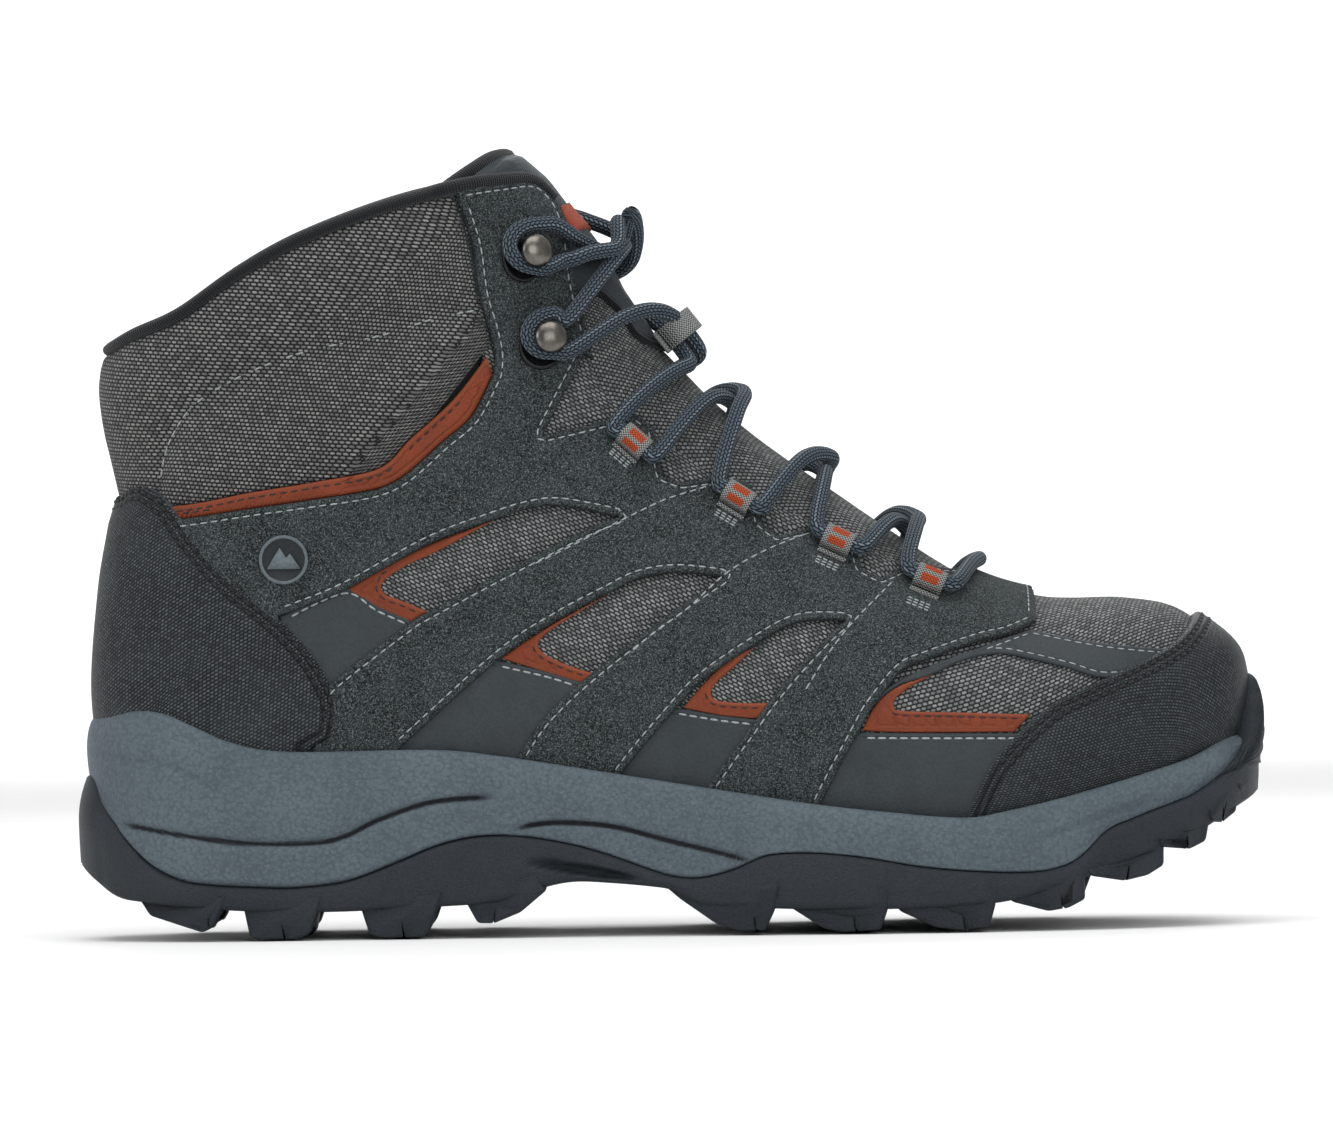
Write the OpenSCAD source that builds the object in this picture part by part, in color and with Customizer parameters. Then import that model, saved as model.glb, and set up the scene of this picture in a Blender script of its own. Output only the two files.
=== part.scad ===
// Mid-height laced hiking boot for the right foot, built as an assembly of its
// moulded, lasted, sewn and riveted pieces.
// +X runs from heel to toe, +Y to the inner (medial) side of the foot, +Z up.
// The origin is on the ground, under the middle of the heel.

/* [Size] */
// Length of the outsole from the heel to the toe bumper
outsole_length = 310; // [285:1:325]
// Width of the last relative to its standard fitting
width_fit = 1; // [0.96:0.01:1.04]

/* [Upper layers] */
// Thickness of the mesh fabric
mesh_t = 1; // [0.8:0.1:1]
// Thickness of the accent leather under the overlays
trim_t = 0.5; // [0.4:0.1:0.6]
// Thickness of the smooth leather mudguard
guard_t = 0.7; // [0.5:0.1:0.8]
// Thickness of the suede overlay
suede_t = 1.15; // [1:0.05:1.2]
// Thickness of the moulded toe cap and heel cover
cap_t = 1.05; // [0.9:0.05:1.1]
// Thickness of the bootie lining
lining_t = 0.8; // [0.6:0.1:0.9]
// Thickness of the foam in the collar
collar_foam_t = 6.9; // [5:0.1:6.9]
// Thickness of the foam in the tongue
tongue_foam_t = 4; // [3:0.1:4]

/* [Sole] */
// Width of the midsole wall outside the lasting line
midsole_flare = 8; // [7.5:0.5:9]
// Thickness of the removable footbed
footbed_t = 4.4; // [3:0.1:5]
// Width of the shank plate
shank_w = 20; // [14:1:24]

/* [Lacing] */
// Diameter of the round lace
lace_d = 3.6; // [3:0.1:3.8]
// Diameter of the domed hook heads
hook_dome_d = 7.8; // [6:0.1:8.5]
// Diameter of the hook backing washers
hook_disc_d = 9.8; // [9:0.1:11]
// Width of the webbing of the lace loops
loop_w = 8; // [6:0.5:9]
// Diameter of the round badge
badge_d = 13; // [10:0.5:14]

/* [Hidden] */

size_k = outsole_length/310;
gap = 0.05;
far = 400;

// Layer offsets from the surface of the last, outwards positive
mesh_in = -mesh_t;
trim_in = gap;
guard_in = trim_in + trim_t + gap;
suede_in = guard_in + guard_t + gap;
suede_out = suede_in + suede_t;
cap_in = suede_out + gap;
cap_out = cap_in + cap_t;
cavity_out = cap_out + 0.3;
stiffener_out = -1.2;
stiffener_in = -2.6;
gusset_in = -2.8;
gusset_out = -2;
lining_out = -3.2;
lining_in = lining_out - lining_t;
foam_out = -1.1;
foam_in = foam_out - collar_foam_t;
tongue_out = -1.2;
tongue_skin_in = -2.1;
tongue_foam_in = tongue_skin_in - 0.1 - tongue_foam_t;

// Floor of the shell: heights relative to the lasting line
cavity_floor = -3.9;
board_low = -3.7;
board_t = 1.6;
lining_floor_out = -1.9;
lining_floor_in = lining_floor_out + lining_t;

// ---------------------------------------------------------------- the last
// Nineteen slanted section planes run from the toe (0) round the instep to the
// top of the ankle (18).  Each one goes from a base point at the lasting line or
// the back seam to a top point on the front ridge.
last_n = 18;
heel_station = 12;
last_base = [[245.5, 40], [243, 38.5], [235, 36], [221, 31.5], [200, 26.5],
             [172, 24.5], [142, 26], [108, 30], [70, 33], [30, 35], [-8, 37.5], [-34, 40],
             [-44, 46], [-47.5, 64], [-45.3, 92], [-41.3, 117], [-44.5, 135],
             [-46, 152], [-44.5, 168]];
last_top = [[249.8, 60], [247, 72], [237, 81.5], [222, 84.8], [201, 85.6],
            [178, 93.3], [150, 113], [124, 132], [104, 151], [92, 168], [85, 180],
            [81, 185.5], [78, 189], [75.5, 192.3], [72, 197], [69, 200.3],
            [66, 203.7], [62.5, 207.5], [57, 213]];
half_lateral = [0, 19, 31, 42, 49.5, 53, 50, 43.5, 38, 36, 35.5, 35.5, 35.5, 35,
                34, 34, 35.5, 37, 37.5];
half_medial = [0, 15, 25.5, 35, 42, 46, 42, 35, 33, 34, 34.5, 35, 35, 35, 34, 34,
               35.5, 37, 37.5];
centre_line = [5, 5, 4.5, 4, 3, 2, 1, 0.5, 0, 0, 0, 0, 0, 0, 0, 0, 0, 0, 0];
// Width at the lasting line over the full width of the section
foot_ratio = [0.96, 0.96, 0.96, 0.96, 0.96, 0.96, 0.96, 0.96, 0.96, 0.93, 0.9,
              0.9, 0.9, 0.9, 0.9, 0.9, 0.9, 0.9, 0.9];
// The lasting line closes round the heel in a half ellipse from this station on
heel_round_station = 10;
// Share of the section height at which it is widest
belly_at = [0.35, 0.35, 0.35, 0.33, 0.3, 0.3, 0.28, 0.26, 0.24, 0.22, 0.22, 0.26,
            0.35, 0.38, 0.4, 0.42, 0.45, 0.45, 0.45];
// How full the section is between its widest place and the ridge
crown = [2.3, 2.3, 2.3, 2.3, 2.2, 1.9, 1.6, 1.5, 1.5, 1.55, 1.65, 1.75, 1.85, 1.9,
         1.9, 1.9, 1.9, 1.9, 1.9];
belly_power = 2.2;

function cubic(a, b, c, d, t) =
    b + 0.5*t*(c - a + t*(2*a - 5*b + 4*c - d + t*(3*(b - c) + d - a)));
function station(list, i, mirror_sign) =
    i < 0 ? mirror_sign*list[-i]
          : i > last_n ? 2*list[last_n] - list[last_n - 1] : list[i];
function along(list, u, mirror_sign = 1) =
    let (i = floor(u))
    cubic(station(list, i - 1, mirror_sign), station(list, i, mirror_sign),
          station(list, i + 1, mirror_sign), station(list, i + 2, mirror_sign), u - i);
function width_ratio(h, belly, foot, q) =
    h < belly
      ? let (s = 1 - pow(1 - pow(foot, belly_power), 1/belly_power),
             t = min(1, s + (1 - s)*h/belly))
        pow(1 - pow(1 - t, belly_power), 1/belly_power)
      : let (t = max(0, min(1, (1 - h)/(1 - belly))))
        pow(1 - pow(1 - t, q), 1/q);
function foot_share(u) =
    let (centre = last_base[heel_round_station].x,
         reach = centre - last_base[heel_station].x,
         t = max(0, centre - along(last_base, u).x)/reach)
    u >= heel_station ? 0 : along(foot_ratio, u)*sqrt(max(0, 1 - t*t));
// v goes from 0 at the lateral base over the ridge at 1 to the medial base at 2
function last_point(u, v) =
    let (h = (1 - cos(180*v))/2,
         lateral = v > 2 || (v >= 0 && v <= 1),
         p = along(last_base, u)*(1 - h) + along(last_top, u)*h,
         half = width_fit*along(lateral ? half_lateral : half_medial, u, -1),
         ratio = width_ratio(h, along(belly_at, u), foot_share(u), along(crown, u)))
    [p.x, along(centre_line, u) + (lateral ? -1 : 1)*half*ratio, p.y];
function last_normal(u, v) =
    let (e = 0.02,
         s = max(u, 2*e),
         w = u < heel_station ? min(max(v, 1.5*e), 2 - 1.5*e) : v,
         n = cross(last_point(s, w + e) - last_point(s, w - e),
                   last_point(s + e, w) - last_point(s - e, w)))
    n/norm(n);
function off(u, v, o) = last_point(u, v) + o*last_normal(u, v);
function side_view(p) = [p.x, p.z];

// Section plane u and position v of a point given in the side view
function turn(u, p) =
    let (b = along(last_base, u), t = along(last_top, u))
    (t.x - b.x)*(p.y - b.y) - (t.y - b.y)*(p.x - b.x);
function find_u(p, lo, hi, n) =
    n == 0 ? (lo + hi)/2
           : let (mid = (lo + hi)/2)
             turn(mid, p) > 0 ? find_u(p, mid, hi, n - 1) : find_u(p, lo, mid, n - 1);
function locate(p) =
    let (u = find_u(p, 0, last_n, 18),
         b = along(last_base, u),
         d = along(last_top, u) - b,
         h = max(0, min(1, (p - b)*d/(d*d))))
    [u, acos(1 - 2*h)/180];

// ------------------------------------------------------------ layers of the upper
// The grid of the layers: plane k is station k/2, column k is v = k/10.  All layers
// share it, so that they nest without touching.
planes_per_station = 2;
columns_per_side = 10;
seam_column = 2*columns_per_side;
seam_plane = heel_station*planes_per_station;
all_columns = [for (k = [0:seam_column]) k];
lateral_columns = [for (k = [0:columns_per_side]) k];
medial_columns = [for (k = [columns_per_side:seam_column]) k];
function heel_columns(n) = [for (k = [seam_column - n:seam_column]) k,
                            for (k = [0:n]) k];

function grid_point(plane, column, o) =
    off(plane/planes_per_station, column/columns_per_side, o);
// The closed bodies have a flat floor, this far from the lasting line
function body_point(plane, column, o, floor_shift) =
    let (u = plane/planes_per_station,
         p = grid_point(plane, column, o),
         low = column == 0 || column == seam_column,
         share = low ? min(1, foot_share(u)/0.6) : 0)
    [p.x, p.y, p.z + share*(along(last_base, u).y + floor_shift - p.z)];

function has(list, k) = len([for (item = list) if (item == k) 1]) > 0;
function index_of(list, k) = [for (i = [0:len(list) - 1]) if (list[i] == k) i][0];
// The two halves share one point along the toe line and along the back seam
function weld(planes, columns, i, j) =
    planes[i] == 0 && columns[j] > columns_per_side
      && has(columns, seam_column - columns[j])
      ? index_of(columns, seam_column - columns[j])
      : planes[i] >= seam_plane && columns[j] == seam_column && has(columns, 0)
        ? index_of(columns, 0) : j;
function whole(face) =
    len([for (i = [0:2]) if (face[i] == face[(i + 1) % 3]) 1]) == 0;
function quad(a, b, c, d) = [for (f = [[a, c, b], [b, c, d]]) if (whole(f)) f];

// One layer of material between two offsets, over a patch of the last
module layer(o_in, o_out, planes, columns) {
    n = len(planes) - 1;
    m = len(columns) - 1;
    count = (n + 1)*(m + 1);
    welded = [for (i = [0:n]) [for (j = [0:m])
                 i*(m + 1) + weld(planes, columns, i, j)]];
    seam_at = function (j) j < m && columns[j] == seam_column && columns[j + 1] == 0;
    closed_seam = function (i, j) (columns[j] == 0 || columns[j] == seam_column)
        && planes[i] >= seam_plane && has(columns, 0) && has(columns, seam_column);
    cells = [for (i = [0:n - 1]) for (j = [0:m - 1]) if (!seam_at(j)) [i, j]];
    outer = [for (c = cells) let (i = c[0], j = c[1])
                each quad(welded[i][j], welded[i][j + 1],
                          welded[i + 1][j], welded[i + 1][j + 1])];
    inner = [for (f = outer) [f[0] + count, f[2] + count, f[1] + count]];
    rim = function (a, b) quad(a, b, a + count, b + count);
    first_rows = planes[0] == 0 ? []
        : [for (j = [0:m - 1]) if (!seam_at(j))
              each rim(welded[0][j + 1], welded[0][j])];
    last_rows = [for (j = [0:m - 1]) if (!seam_at(j))
                    each rim(welded[n][j], welded[n][j + 1])];
    start_columns = [for (i = [0:n - 1]) for (j = [0:m])
        if ((j == 0 || seam_at(j - 1)) && !closed_seam(i, j))
            each rim(welded[i][j], welded[i + 1][j])];
    end_columns = [for (i = [0:n - 1]) for (j = [0:m])
        if ((j == m || seam_at(j)) && !closed_seam(i, j))
            each rim(welded[i + 1][j], welded[i][j])];
    polyhedron([for (o = [o_out, o_in]) for (p = planes) for (c = columns)
                   grid_point(p, c, o)],
               concat(outer, inner, first_rows, last_rows, start_columns,
                      end_columns));
}

// The last itself grown by an offset, as a closed solid up to a section plane
module last_body(o, floor_shift, planes) {
    n = len(planes) - 1;
    m = seam_column;
    k = function (i, j) i*(m + 1) + weld(planes, all_columns, i, j);
    top_centre = (n + 1)*(m + 1);
    skin = [for (i = [0:n - 1]) for (j = [0:m - 1])
               each quad(k(i, j), k(i, j + 1), k(i + 1, j), k(i + 1, j + 1))];
    sole = [for (i = [0:n - 1])
               each quad(k(i, m), k(i, 0), k(i + 1, m), k(i + 1, 0))];
    lid = [for (j = [0:m - 1]) let (f = [k(n, j + 1), k(n, j), top_centre])
              if (whole(f)) f];
    polyhedron(concat([for (p = planes) for (c = all_columns)
                          body_point(p, c, o, floor_shift)],
                      [(off(planes[n]/planes_per_station, 0, o)
                        + off(planes[n]/planes_per_station, 1, o))/2]),
               concat(skin, sole, lid));
}

// -------------------------------------------------------- outlines in the side view
function spline(points, steps = 3) =
    let (n = len(points) - 1)
    [for (i = [0:n - 1]) for (s = [0:steps - 1])
        cubic(points[max(0, i - 1)], points[i], points[i + 1],
              points[min(n, i + 2)], s/steps),
     points[n]];
function reversed(list) = [for (i = [len(list) - 1:-1:0]) list[i]];
// A solid as wide as the boot, with the given outline in the side view
module side_prism(outline, width = far) {
    rotate([90, 0, 0])
        linear_extrude(width, center = true)
            polygon(outline);
}

collar_top = [[-60, 150], [-44.4, 154.7], [-38, 157.7], [-25, 162.5], [-9, 173],
              [6.8, 181.4], [27.9, 189.4], [45.2, 194.3], [59.4, 196.5],
              [67.2, 196.3], [72.4, 191.3]];
eyestay = [[72.4, 191.3], [75.2, 184.4], [77.8, 169.5], [81.5, 154.2], [84, 144],
           [91, 137], [99, 130.5], [112, 121], [125, 114.5], [138, 107.5],
           [151, 101], [163, 95.5], [174, 92], [182, 94]];
suede_collar_edge = [[47, 193.5], [51.3, 179.6], [53.1, 166.2], [56.6, 152.8],
                     [56.5, 146.3]];
accent_outer = [[56.5, 146.3], [50.8, 135.4], [43.4, 128.9], [30.7, 118.6],
                [18, 115.5], [-7, 112], [-25, 109.6], [-55, 107]];
accent_inner = [[-55, 111.5], [-25, 113.3], [-7, 116.3], [9.7, 118.8],
                [26.5, 122.2], [35, 129.9], [45.9, 139.6], [55, 151]];
heel_cover_edge = [[-60, 115], [-41, 116.5], [-36.6, 118.8], [-32.4, 118],
                   [-27, 113.2], [-20.3, 103.8], [-12.4, 94.3], [2.1, 81.5],
                   [10.5, 71.5], [15.1, 61.4], [14, 52], [9, 44]];
toe_cap_edge = [[246, 90], [237.5, 76.9], [228.7, 70.3], [208.7, 61.4],
                [199.2, 56.9], [187, 46.3], [180, 35], [176, 22]];
vamp_seam = [[120, 15], [135, 40], [150, 66], [168, 84], [186, 104]];

// Window k between two straps: the accent's outline and the panel under it
accent_1 = [[56.4, 108.1], [39.6, 102.1], [26.4, 95.7], [17.1, 90.4], [26.5, 85.3],
            [34.8, 81.7], [39, 84.5], [32.8, 87.3], [27.8, 89.4], [27.2, 92.3],
            [32.9, 96.4], [42.4, 100.7]];
accent_2 = [[85.9, 88.2], [73.3, 81.9], [64.3, 76.5], [57.9, 72.2], [70.4, 67.8],
            [80, 64.8], [82.7, 67.6], [76.7, 69.5], [70.5, 72.3], [67.6, 74.9],
            [68.7, 77.5], [73.8, 81.1]];
accent_3 = [[123.9, 74], [117.8, 71.2], [112.3, 66.6], [105.1, 58.6], [115, 56.4],
            [125.2, 55.4], [127.6, 59.4], [118.4, 59.7], [113.4, 60.6],
            [112.4, 62.7], [114.3, 65.5], [118.6, 69.1]];
accent_4 = [[169.8, 66], [160.6, 63], [154.8, 58.4], [151.3, 52.1], [161.7, 51.4],
            [190.5, 51], [195, 55.4], [178, 56.2], [161.8, 56.9], [159.7, 58],
            [160, 60], [164, 63.2]];
window_1 = [[17.1, 90.4], [39.6, 102.1], [56.4, 108.1], [66.1, 110.8],
            [74.2, 111.2], [88.9, 108.1], [80.7, 105.1], [67.8, 99], [39, 84.5],
            [32.4, 80.5], [14, 67], [4, 58], [0, 84]];
window_2 = [[57.9, 72.2], [73.3, 81.9], [85.9, 88.2], [94.4, 92], [104, 93.2],
            [116.1, 91.7], [104.7, 84.5], [82.7, 68.7], [68.9, 56.6], [60, 44],
            [50, 30], [20, 30], [28, 46.5]];
window_3 = [[105, 60], [112.3, 66.6], [123.9, 74], [132.9, 78.9], [139.7, 80.1],
            [147.5, 79.7], [140.4, 73.5], [127.6, 59.6], [108, 34], [96, 20],
            [78, 25], [90, 43]];
window_4 = [[151.3, 52.9], [154.8, 58.4], [162, 66.6], [168.6, 69.4],
            [182, 73.6], [190.1, 75.3], [197.2, 78], [197.6, 88], [197.6, 120],
            [280, 120], [280, 5], [128, 5], [140.5, 33.2]];
mudguard_top = [[0, 83], [17.1, 90.2], [26.5, 85.2], [34.8, 81.2], [45, 75],
                [56.6, 70.9], [70.4, 67.4], [80, 64.2], [92, 60], [104, 57.6],
                [115, 55.6], [125.2, 54.2], [138, 51.5], [151.3, 50.6],
                [190, 49.8], [200, 50]];
vamp_strap = [[149.2, 51.6], [156, 61.5], [169, 68], [182, 72.4], [195.4, 76.6],
              [209, 73.8], [219, 72.4], [236, 71], [232, 66], [215.3, 64.2],
              [205.4, 66.9], [195.2, 69.5], [187.4, 70.9], [178.8, 69.7],
              [169.8, 66], [160.6, 63], [154.8, 58.4]];

// Where the tongue's sides run under the quarters
function tongue_side(u) = u < 8 ? 0.62 : u > 12 ? 0.7 : 0.62 + 0.02*(u - 8);
function throat_line(inset, first) =
    [for (u = [first:0.5:last_n]) side_view(last_point(u, tongue_side(u) - inset))];
function throat_region(inset, first) =
    concat([side_view(off(first, 1, 12))], throat_line(inset, first),
           [[40, far], [far, far]]);
tongue_start = 4.7;

module below_collar(lower = 0) {
    side_prism(concat(spline([for (p = collar_top) p - [0, lower]]),
                      [[far, 100], [far, -50], [-far, -50], [-far, 150]]));
}
module outside_throat() {
    difference() {
        cube(2*far, center = true);
        side_prism(concat(spline(eyestay), [[182, far], [72.4, far]]));
    }
}
accent_seam = [[-60, 109.5], [-25, 111.5], [-7, 114.3], [9.7, 117], [28, 120.6],
               [37, 128], [47.4, 137.4], [54, 149]];
module above_seam(spread = 0) {
    front = [[53, 166], [51, 180], [46.8, 194], [46, far]];
    side_prism(concat([for (p = concat(spline(accent_seam), front)) p + [spread, -spread]],
                      [[-far, far], [-far, 107]]));
}

// ------------------------------------------------------------------------ sole
// Outline of the sole: the lasting line moved outwards in plan
sole_end = heel_station*planes_per_station;
function lasting_point(k) =
    let (over = abs(k) > sole_end,
         s = over ? 2*sole_end - abs(k) : abs(k),
         lateral = over ? k > 0 : k < 0,
         u = s/planes_per_station,
         half = width_fit*along(lateral ? half_lateral : half_medial, u, -1))
    [along(last_base, u).x,
     along(centre_line, u) + (lateral ? -1 : 1)*half*foot_share(u)];
function plan_point(k, grow) =
    let (t = lasting_point(k + 1) - lasting_point(k - 1))
    lasting_point(k) + grow*[t.y, -t.x]/norm(t);
function plan_outline(grow, toe_extra = 0, heel_extra = 0) =
    [for (k = [-sole_end:sole_end - 1])
        let (toe = max(0, 1 - abs(k)/7), heel = max(0, (abs(k) - 19)/5))
        plan_point(k, grow + toe_extra*toe + heel_extra*heel)];

midsole_top = [[-70, 57.5], [-48, 58.6], [-39.6, 59.9], [-31.8, 59.2], [-24, 56.2],
               [-13.6, 51.6], [2, 48.8], [38.7, 48.7], [57, 46.8], [83, 42.5],
               [135, 33.8], [161, 30.6], [172, 29.5], [180, 29.3], [187, 30.4],
               [200.6, 33.2], [213.8, 36.4], [226.9, 39.9], [240, 43.7],
               [252.7, 49.8], [275, 60]];
sole_split = [[-70, 45.6], [-52.1, 43], [-47.8, 35], [-41.4, 26.4], [-35, 19.8],
              [-27.2, 15.8], [-19.4, 14.4], [-6.3, 13.6], [4, 13.4], [17.2, 15],
              [30.4, 19.8], [41, 24], [51.4, 26.1], [62, 25.9], [72.3, 24.3],
              [82.7, 21.6], [95.7, 16.9], [102, 15], [108.7, 14.6], [116.6, 16.4],
              [122, 18.7], [127.2, 20.4], [137.7, 20.7], [150.7, 19.4],
              [166.4, 16.7], [182, 15.2], [195.1, 14.9], [203, 16.2], [208, 19],
              [213, 24], [216, 26], [220, 27.5], [226, 29.7], [236, 33.1],
              [240, 35.2], [245, 38.3], [249.2, 41], [253.6, 48]];
tread_base = [[-70, 22], [-55, 20], [-49, 15.5], [-43, 11], [-35.2, 9.6],
              [-11.6, 7.4], [11.9, 6.8], [35.4, 7.6], [52, 8.4], [60, 9.6],
              [68, 12.4], [76, 13.8], [86, 13.3], [96, 12.3], [101, 11.4],
              [105, 9.4], [111, 7.4], [130, 6.2], [153.2, 5.8], [174, 6.2],
              [190, 7.6], [208.2, 12.6], [226.6, 19.3], [239.8, 24.8],
              [247.7, 29.7], [275, 45]];

// Lugs as seen from the side, and the share of the half width that they reach in to
heel_lugs = [[[-40, 14], [-35, 6.4], [-28, 4.2], [-21, 2], [-18, 3.4], [-14, 12]],
             [[-11, 12], [-8.6, 0.6], [-6, 0], [4, 0], [7.2, 1.6], [11, 12]],
             [[19, 12], [22.5, 1], [26, 0], [36.5, 0], [38.4, 2], [42, 12]],
             [[46, 12], [50.8, 3.5], [55, 3.4], [62, 6.2], [69, 12], [66, 16]]];
front_lugs = [[[99, 13], [103.4, 9.1], [112.8, 2.5], [118.9, 0.6], [125.5, 0.8],
               [128, 6.1], [129, 12]],
              [[130, 12], [131.5, 6.9], [140.5, 1.1], [145.7, 0], [155.3, 0.6],
               [157.1, 5.7], [158, 12]],
              [[159, 12], [160.2, 5.3], [169.2, 1.1], [176.1, 0], [183.4, 0.9],
               [184.9, 6.1], [186, 12]],
              [[187, 13], [189.3, 7.2], [198.8, 4.6], [204, 5.3], [208.4, 7.5],
               [208.5, 16]],
              [[209.6, 18], [209.9, 13.5], [218.8, 12], [225, 13.3], [228, 15.8],
               [228, 25]],
              [[229, 26], [229.2, 20.5], [236.3, 19.7], [240.7, 21.7], [241.6, 30]]];
centre_lugs = [[[-9, 12], [-7, 0], [7, 0], [9, 12]],
               [[20, 12], [23, 0], [35, 0], [38, 12]],
               [[103, 13], [114, 1], [125, 0], [129, 12]],
               [[139, 12], [142, 0], [153, 0], [157, 12]],
               [[168, 12], [171, 0.4], [181, 0.6], [185, 12]],
               [[197, 14], [200, 4.2], [209, 6], [213, 16]]];
lug_inner = 24;
centre_lug_w = 34;
sole_h = 70;
bumper_inner = 8.4;
bumper_outer = 11.2;

module side_lug(outline) {
    difference() {
        side_prism(outline);
        side_prism([[-far, -far], [far, -far], [far, far], [-far, far]],
                   2*lug_inner);
    }
}
// The rubber in front of the toe, as seen from the side and from the front
bumper_h = 64;
bumper_side = [[228, 25], [240, 33], [250, 41], [253.2, 50], [253.2, bumper_h],
               [262, bumper_h], [262, 40], [250, 24], [236, 20]];
bumper_front = [[-60, 0], [-44, 30], [-26, 44], [-13, 60], [-8, bumper_h],
                [8, bumper_h], [13, 60], [26, 44], [44, 30], [60, 0]];
module toe_bumper() {
    intersection() {
        difference() {
            linear_extrude(bumper_h) polygon(plan_outline(bumper_outer));
            translate([0, 0, -1]) linear_extrude(bumper_h + 2)
                polygon(plan_outline(bumper_inner));
        }
        side_prism(bumper_side);
        translate([0, along(centre_line, 0), 0]) rotate([90, 0, 90])
            linear_extrude(far) polygon(bumper_front);
    }
}
module sole_slab(outline, top_outline, bottom_outline) {
    intersection() {
        linear_extrude(sole_h) polygon(outline);
        side_prism(concat(top_outline, reversed(bottom_outline)));
    }
}
module lasting_cavity() {
    last_body(cavity_out, cavity_floor, [for (k = [0:28]) k]);
}
module outsole() {
    split = [for (p = spline(sole_split, 2)) p - [0, gap]];
    color("#303638") scale(size_k) difference() {
        union() {
            sole_slab(plan_outline(midsole_flare + 0.6, 2.6, 2.1), split, tread_base);
            intersection() {
                sole_slab(plan_outline(midsole_flare + 0.6, 1.5, 2.1), split,
                          [[-far, -1], [far, -1]]);
                union() {
                    for (lug = concat(heel_lugs, front_lugs)) side_lug(lug);
                    for (lug = centre_lugs)
                        translate([0, along(centre_line, 6), 0])
                            side_prism(lug, centre_lug_w);
                }
            }
            toe_bumper();
        }
        lasting_cavity();
    }
}
module midsole() {
    split = [for (p = spline(sole_split, 2)) p + [0, gap]];
    color("#545f65") scale(size_k) difference() {
        sole_slab(plan_outline(midsole_flare), spline(midsole_top, 2), split);
        lasting_cavity();
        shank_pocket();
    }
}

// A strip that follows the lasting line in the side view
function floor_strip(low, high, first, last) =
    let (us = [for (u = [first:0.5:last]) u])
    concat([for (u = us) along(last_base, u) + [0, low]],
           [for (i = [len(us) - 1:-1:0]) along(last_base, us[i]) + [0, high]]);
shank_t = 1.2;
module shank_pocket() {
    side_prism(floor_strip(board_low - shank_t - 0.4, cavity_floor + 0.3, 6.5, 11),
               shank_w + 0.6);
}
module shank() {
    color("#8a8d90") scale(size_k)
        side_prism(floor_strip(board_low - shank_t - 0.1, board_low - 0.1, 7, 10.5),
                   shank_w);
}
module insole_board() {
    color("#b9a27c") scale(size_k) intersection() {
        linear_extrude(80) polygon(plan_outline(-1.5));
        side_prism(floor_strip(board_low, board_low + board_t, 0, heel_station));
    }
}

// ------------------------------------------------------------------- inner pieces
lining_planes = [0, 1, 2, 3, 4, 6, 8, 10, 12, 14, 16, 18, 20, 21, 22, 23, 24, 25, 26,
                 28, 30, 32];
// Above this line the collar lining takes over from the bootie
lining_top = [[-far, 100], [-10, 104], [12, 112], [24, 128], [34, 150], [40, far],
              [-far, far]];
module bootie_lining() {
    color("#5a6063") scale(size_k) difference() {
        last_body(lining_out, lining_floor_out, lining_planes);
        last_body(lining_in, lining_floor_in, concat(lining_planes, [34]));
        side_prism(throat_region(0.04, tongue_start - 0.3));
        side_prism(lining_top);
    }
}
footbed_play = 0.6;
module footbed() {
    color("#3f474b") scale(size_k) intersection() {
        last_body(lining_in - footbed_play, lining_floor_in + footbed_play,
                  lining_planes);
        side_prism(floor_strip(lining_floor_in, lining_floor_in + footbed_play
                               + footbed_t, 0, heel_station));
    }
}
module collar_region(lower, upper) {
    intersection() {
        children();
        below_collar(upper);
        side_prism(concat([[-60, 104 + lower], [-12, 108 + lower],
                           [10, 116 + lower], [20, 130], [28, 150], [30, 172],
                           [24, far], [-60, far]]));
    }
}
module collar_lining() {
    color("#54585a") scale(size_k) collar_region(0, 2.4)
        layer(foam_in - 0.1 - lining_t, foam_in - 0.1, [for (k = [24:36]) k],
              heel_columns(7));
}
module collar_foam() {
    color("#c9c4b4") scale(size_k) collar_region(0.5, 2.4)
        layer(foam_in, foam_out, [for (k = [24:36]) k], heel_columns(7));
}
module collar_binding() {
    color("#1b1f22") scale(size_k) difference() {
        intersection() {
            layer(foam_in - 0.1 - lining_t, 0.8, [for (k = [24:36]) k],
                  heel_columns(9));
            below_collar();
            side_prism([[-60, 100], [46.6, 100], [46.6, far], [-60, far]]);
        }
        below_collar(2.3);
        side_prism(throat_region(0.08, 12));
    }
}
counter_outline = [[-60, 34], [42, 30], [38, 56], [14, 80], [-14, 100], [-60, 102]];
puff_outline = [[208, 5], [214, 100], [270, 100], [270, 5]];
module heel_counter() {
    color("#d8d2c4") scale(size_k) intersection() {
        layer(stiffener_in, stiffener_out, [for (k = [16:31]) k], heel_columns(6));
        side_prism(counter_outline);
    }
}
module toe_puff() {
    color("#d8d2c4") scale(size_k) intersection() {
        layer(stiffener_in, stiffener_out, [for (k = [0:9]) k], all_columns);
        side_prism(puff_outline);
    }
}
module tongue_gussets() {
    color("#3a4043") scale(size_k) intersection() {
        layer(gusset_in, gusset_out, [for (k = [12:2:26]) k], [for (k = [4:16]) k]);
        difference() {
            side_prism(throat_region(0.14, 6.5));
            side_prism(throat_region(0.012, 2));
            side_prism([[-far, 165], [far, 165], [far, far], [-far, far]]);
        }
    }
}

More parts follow.
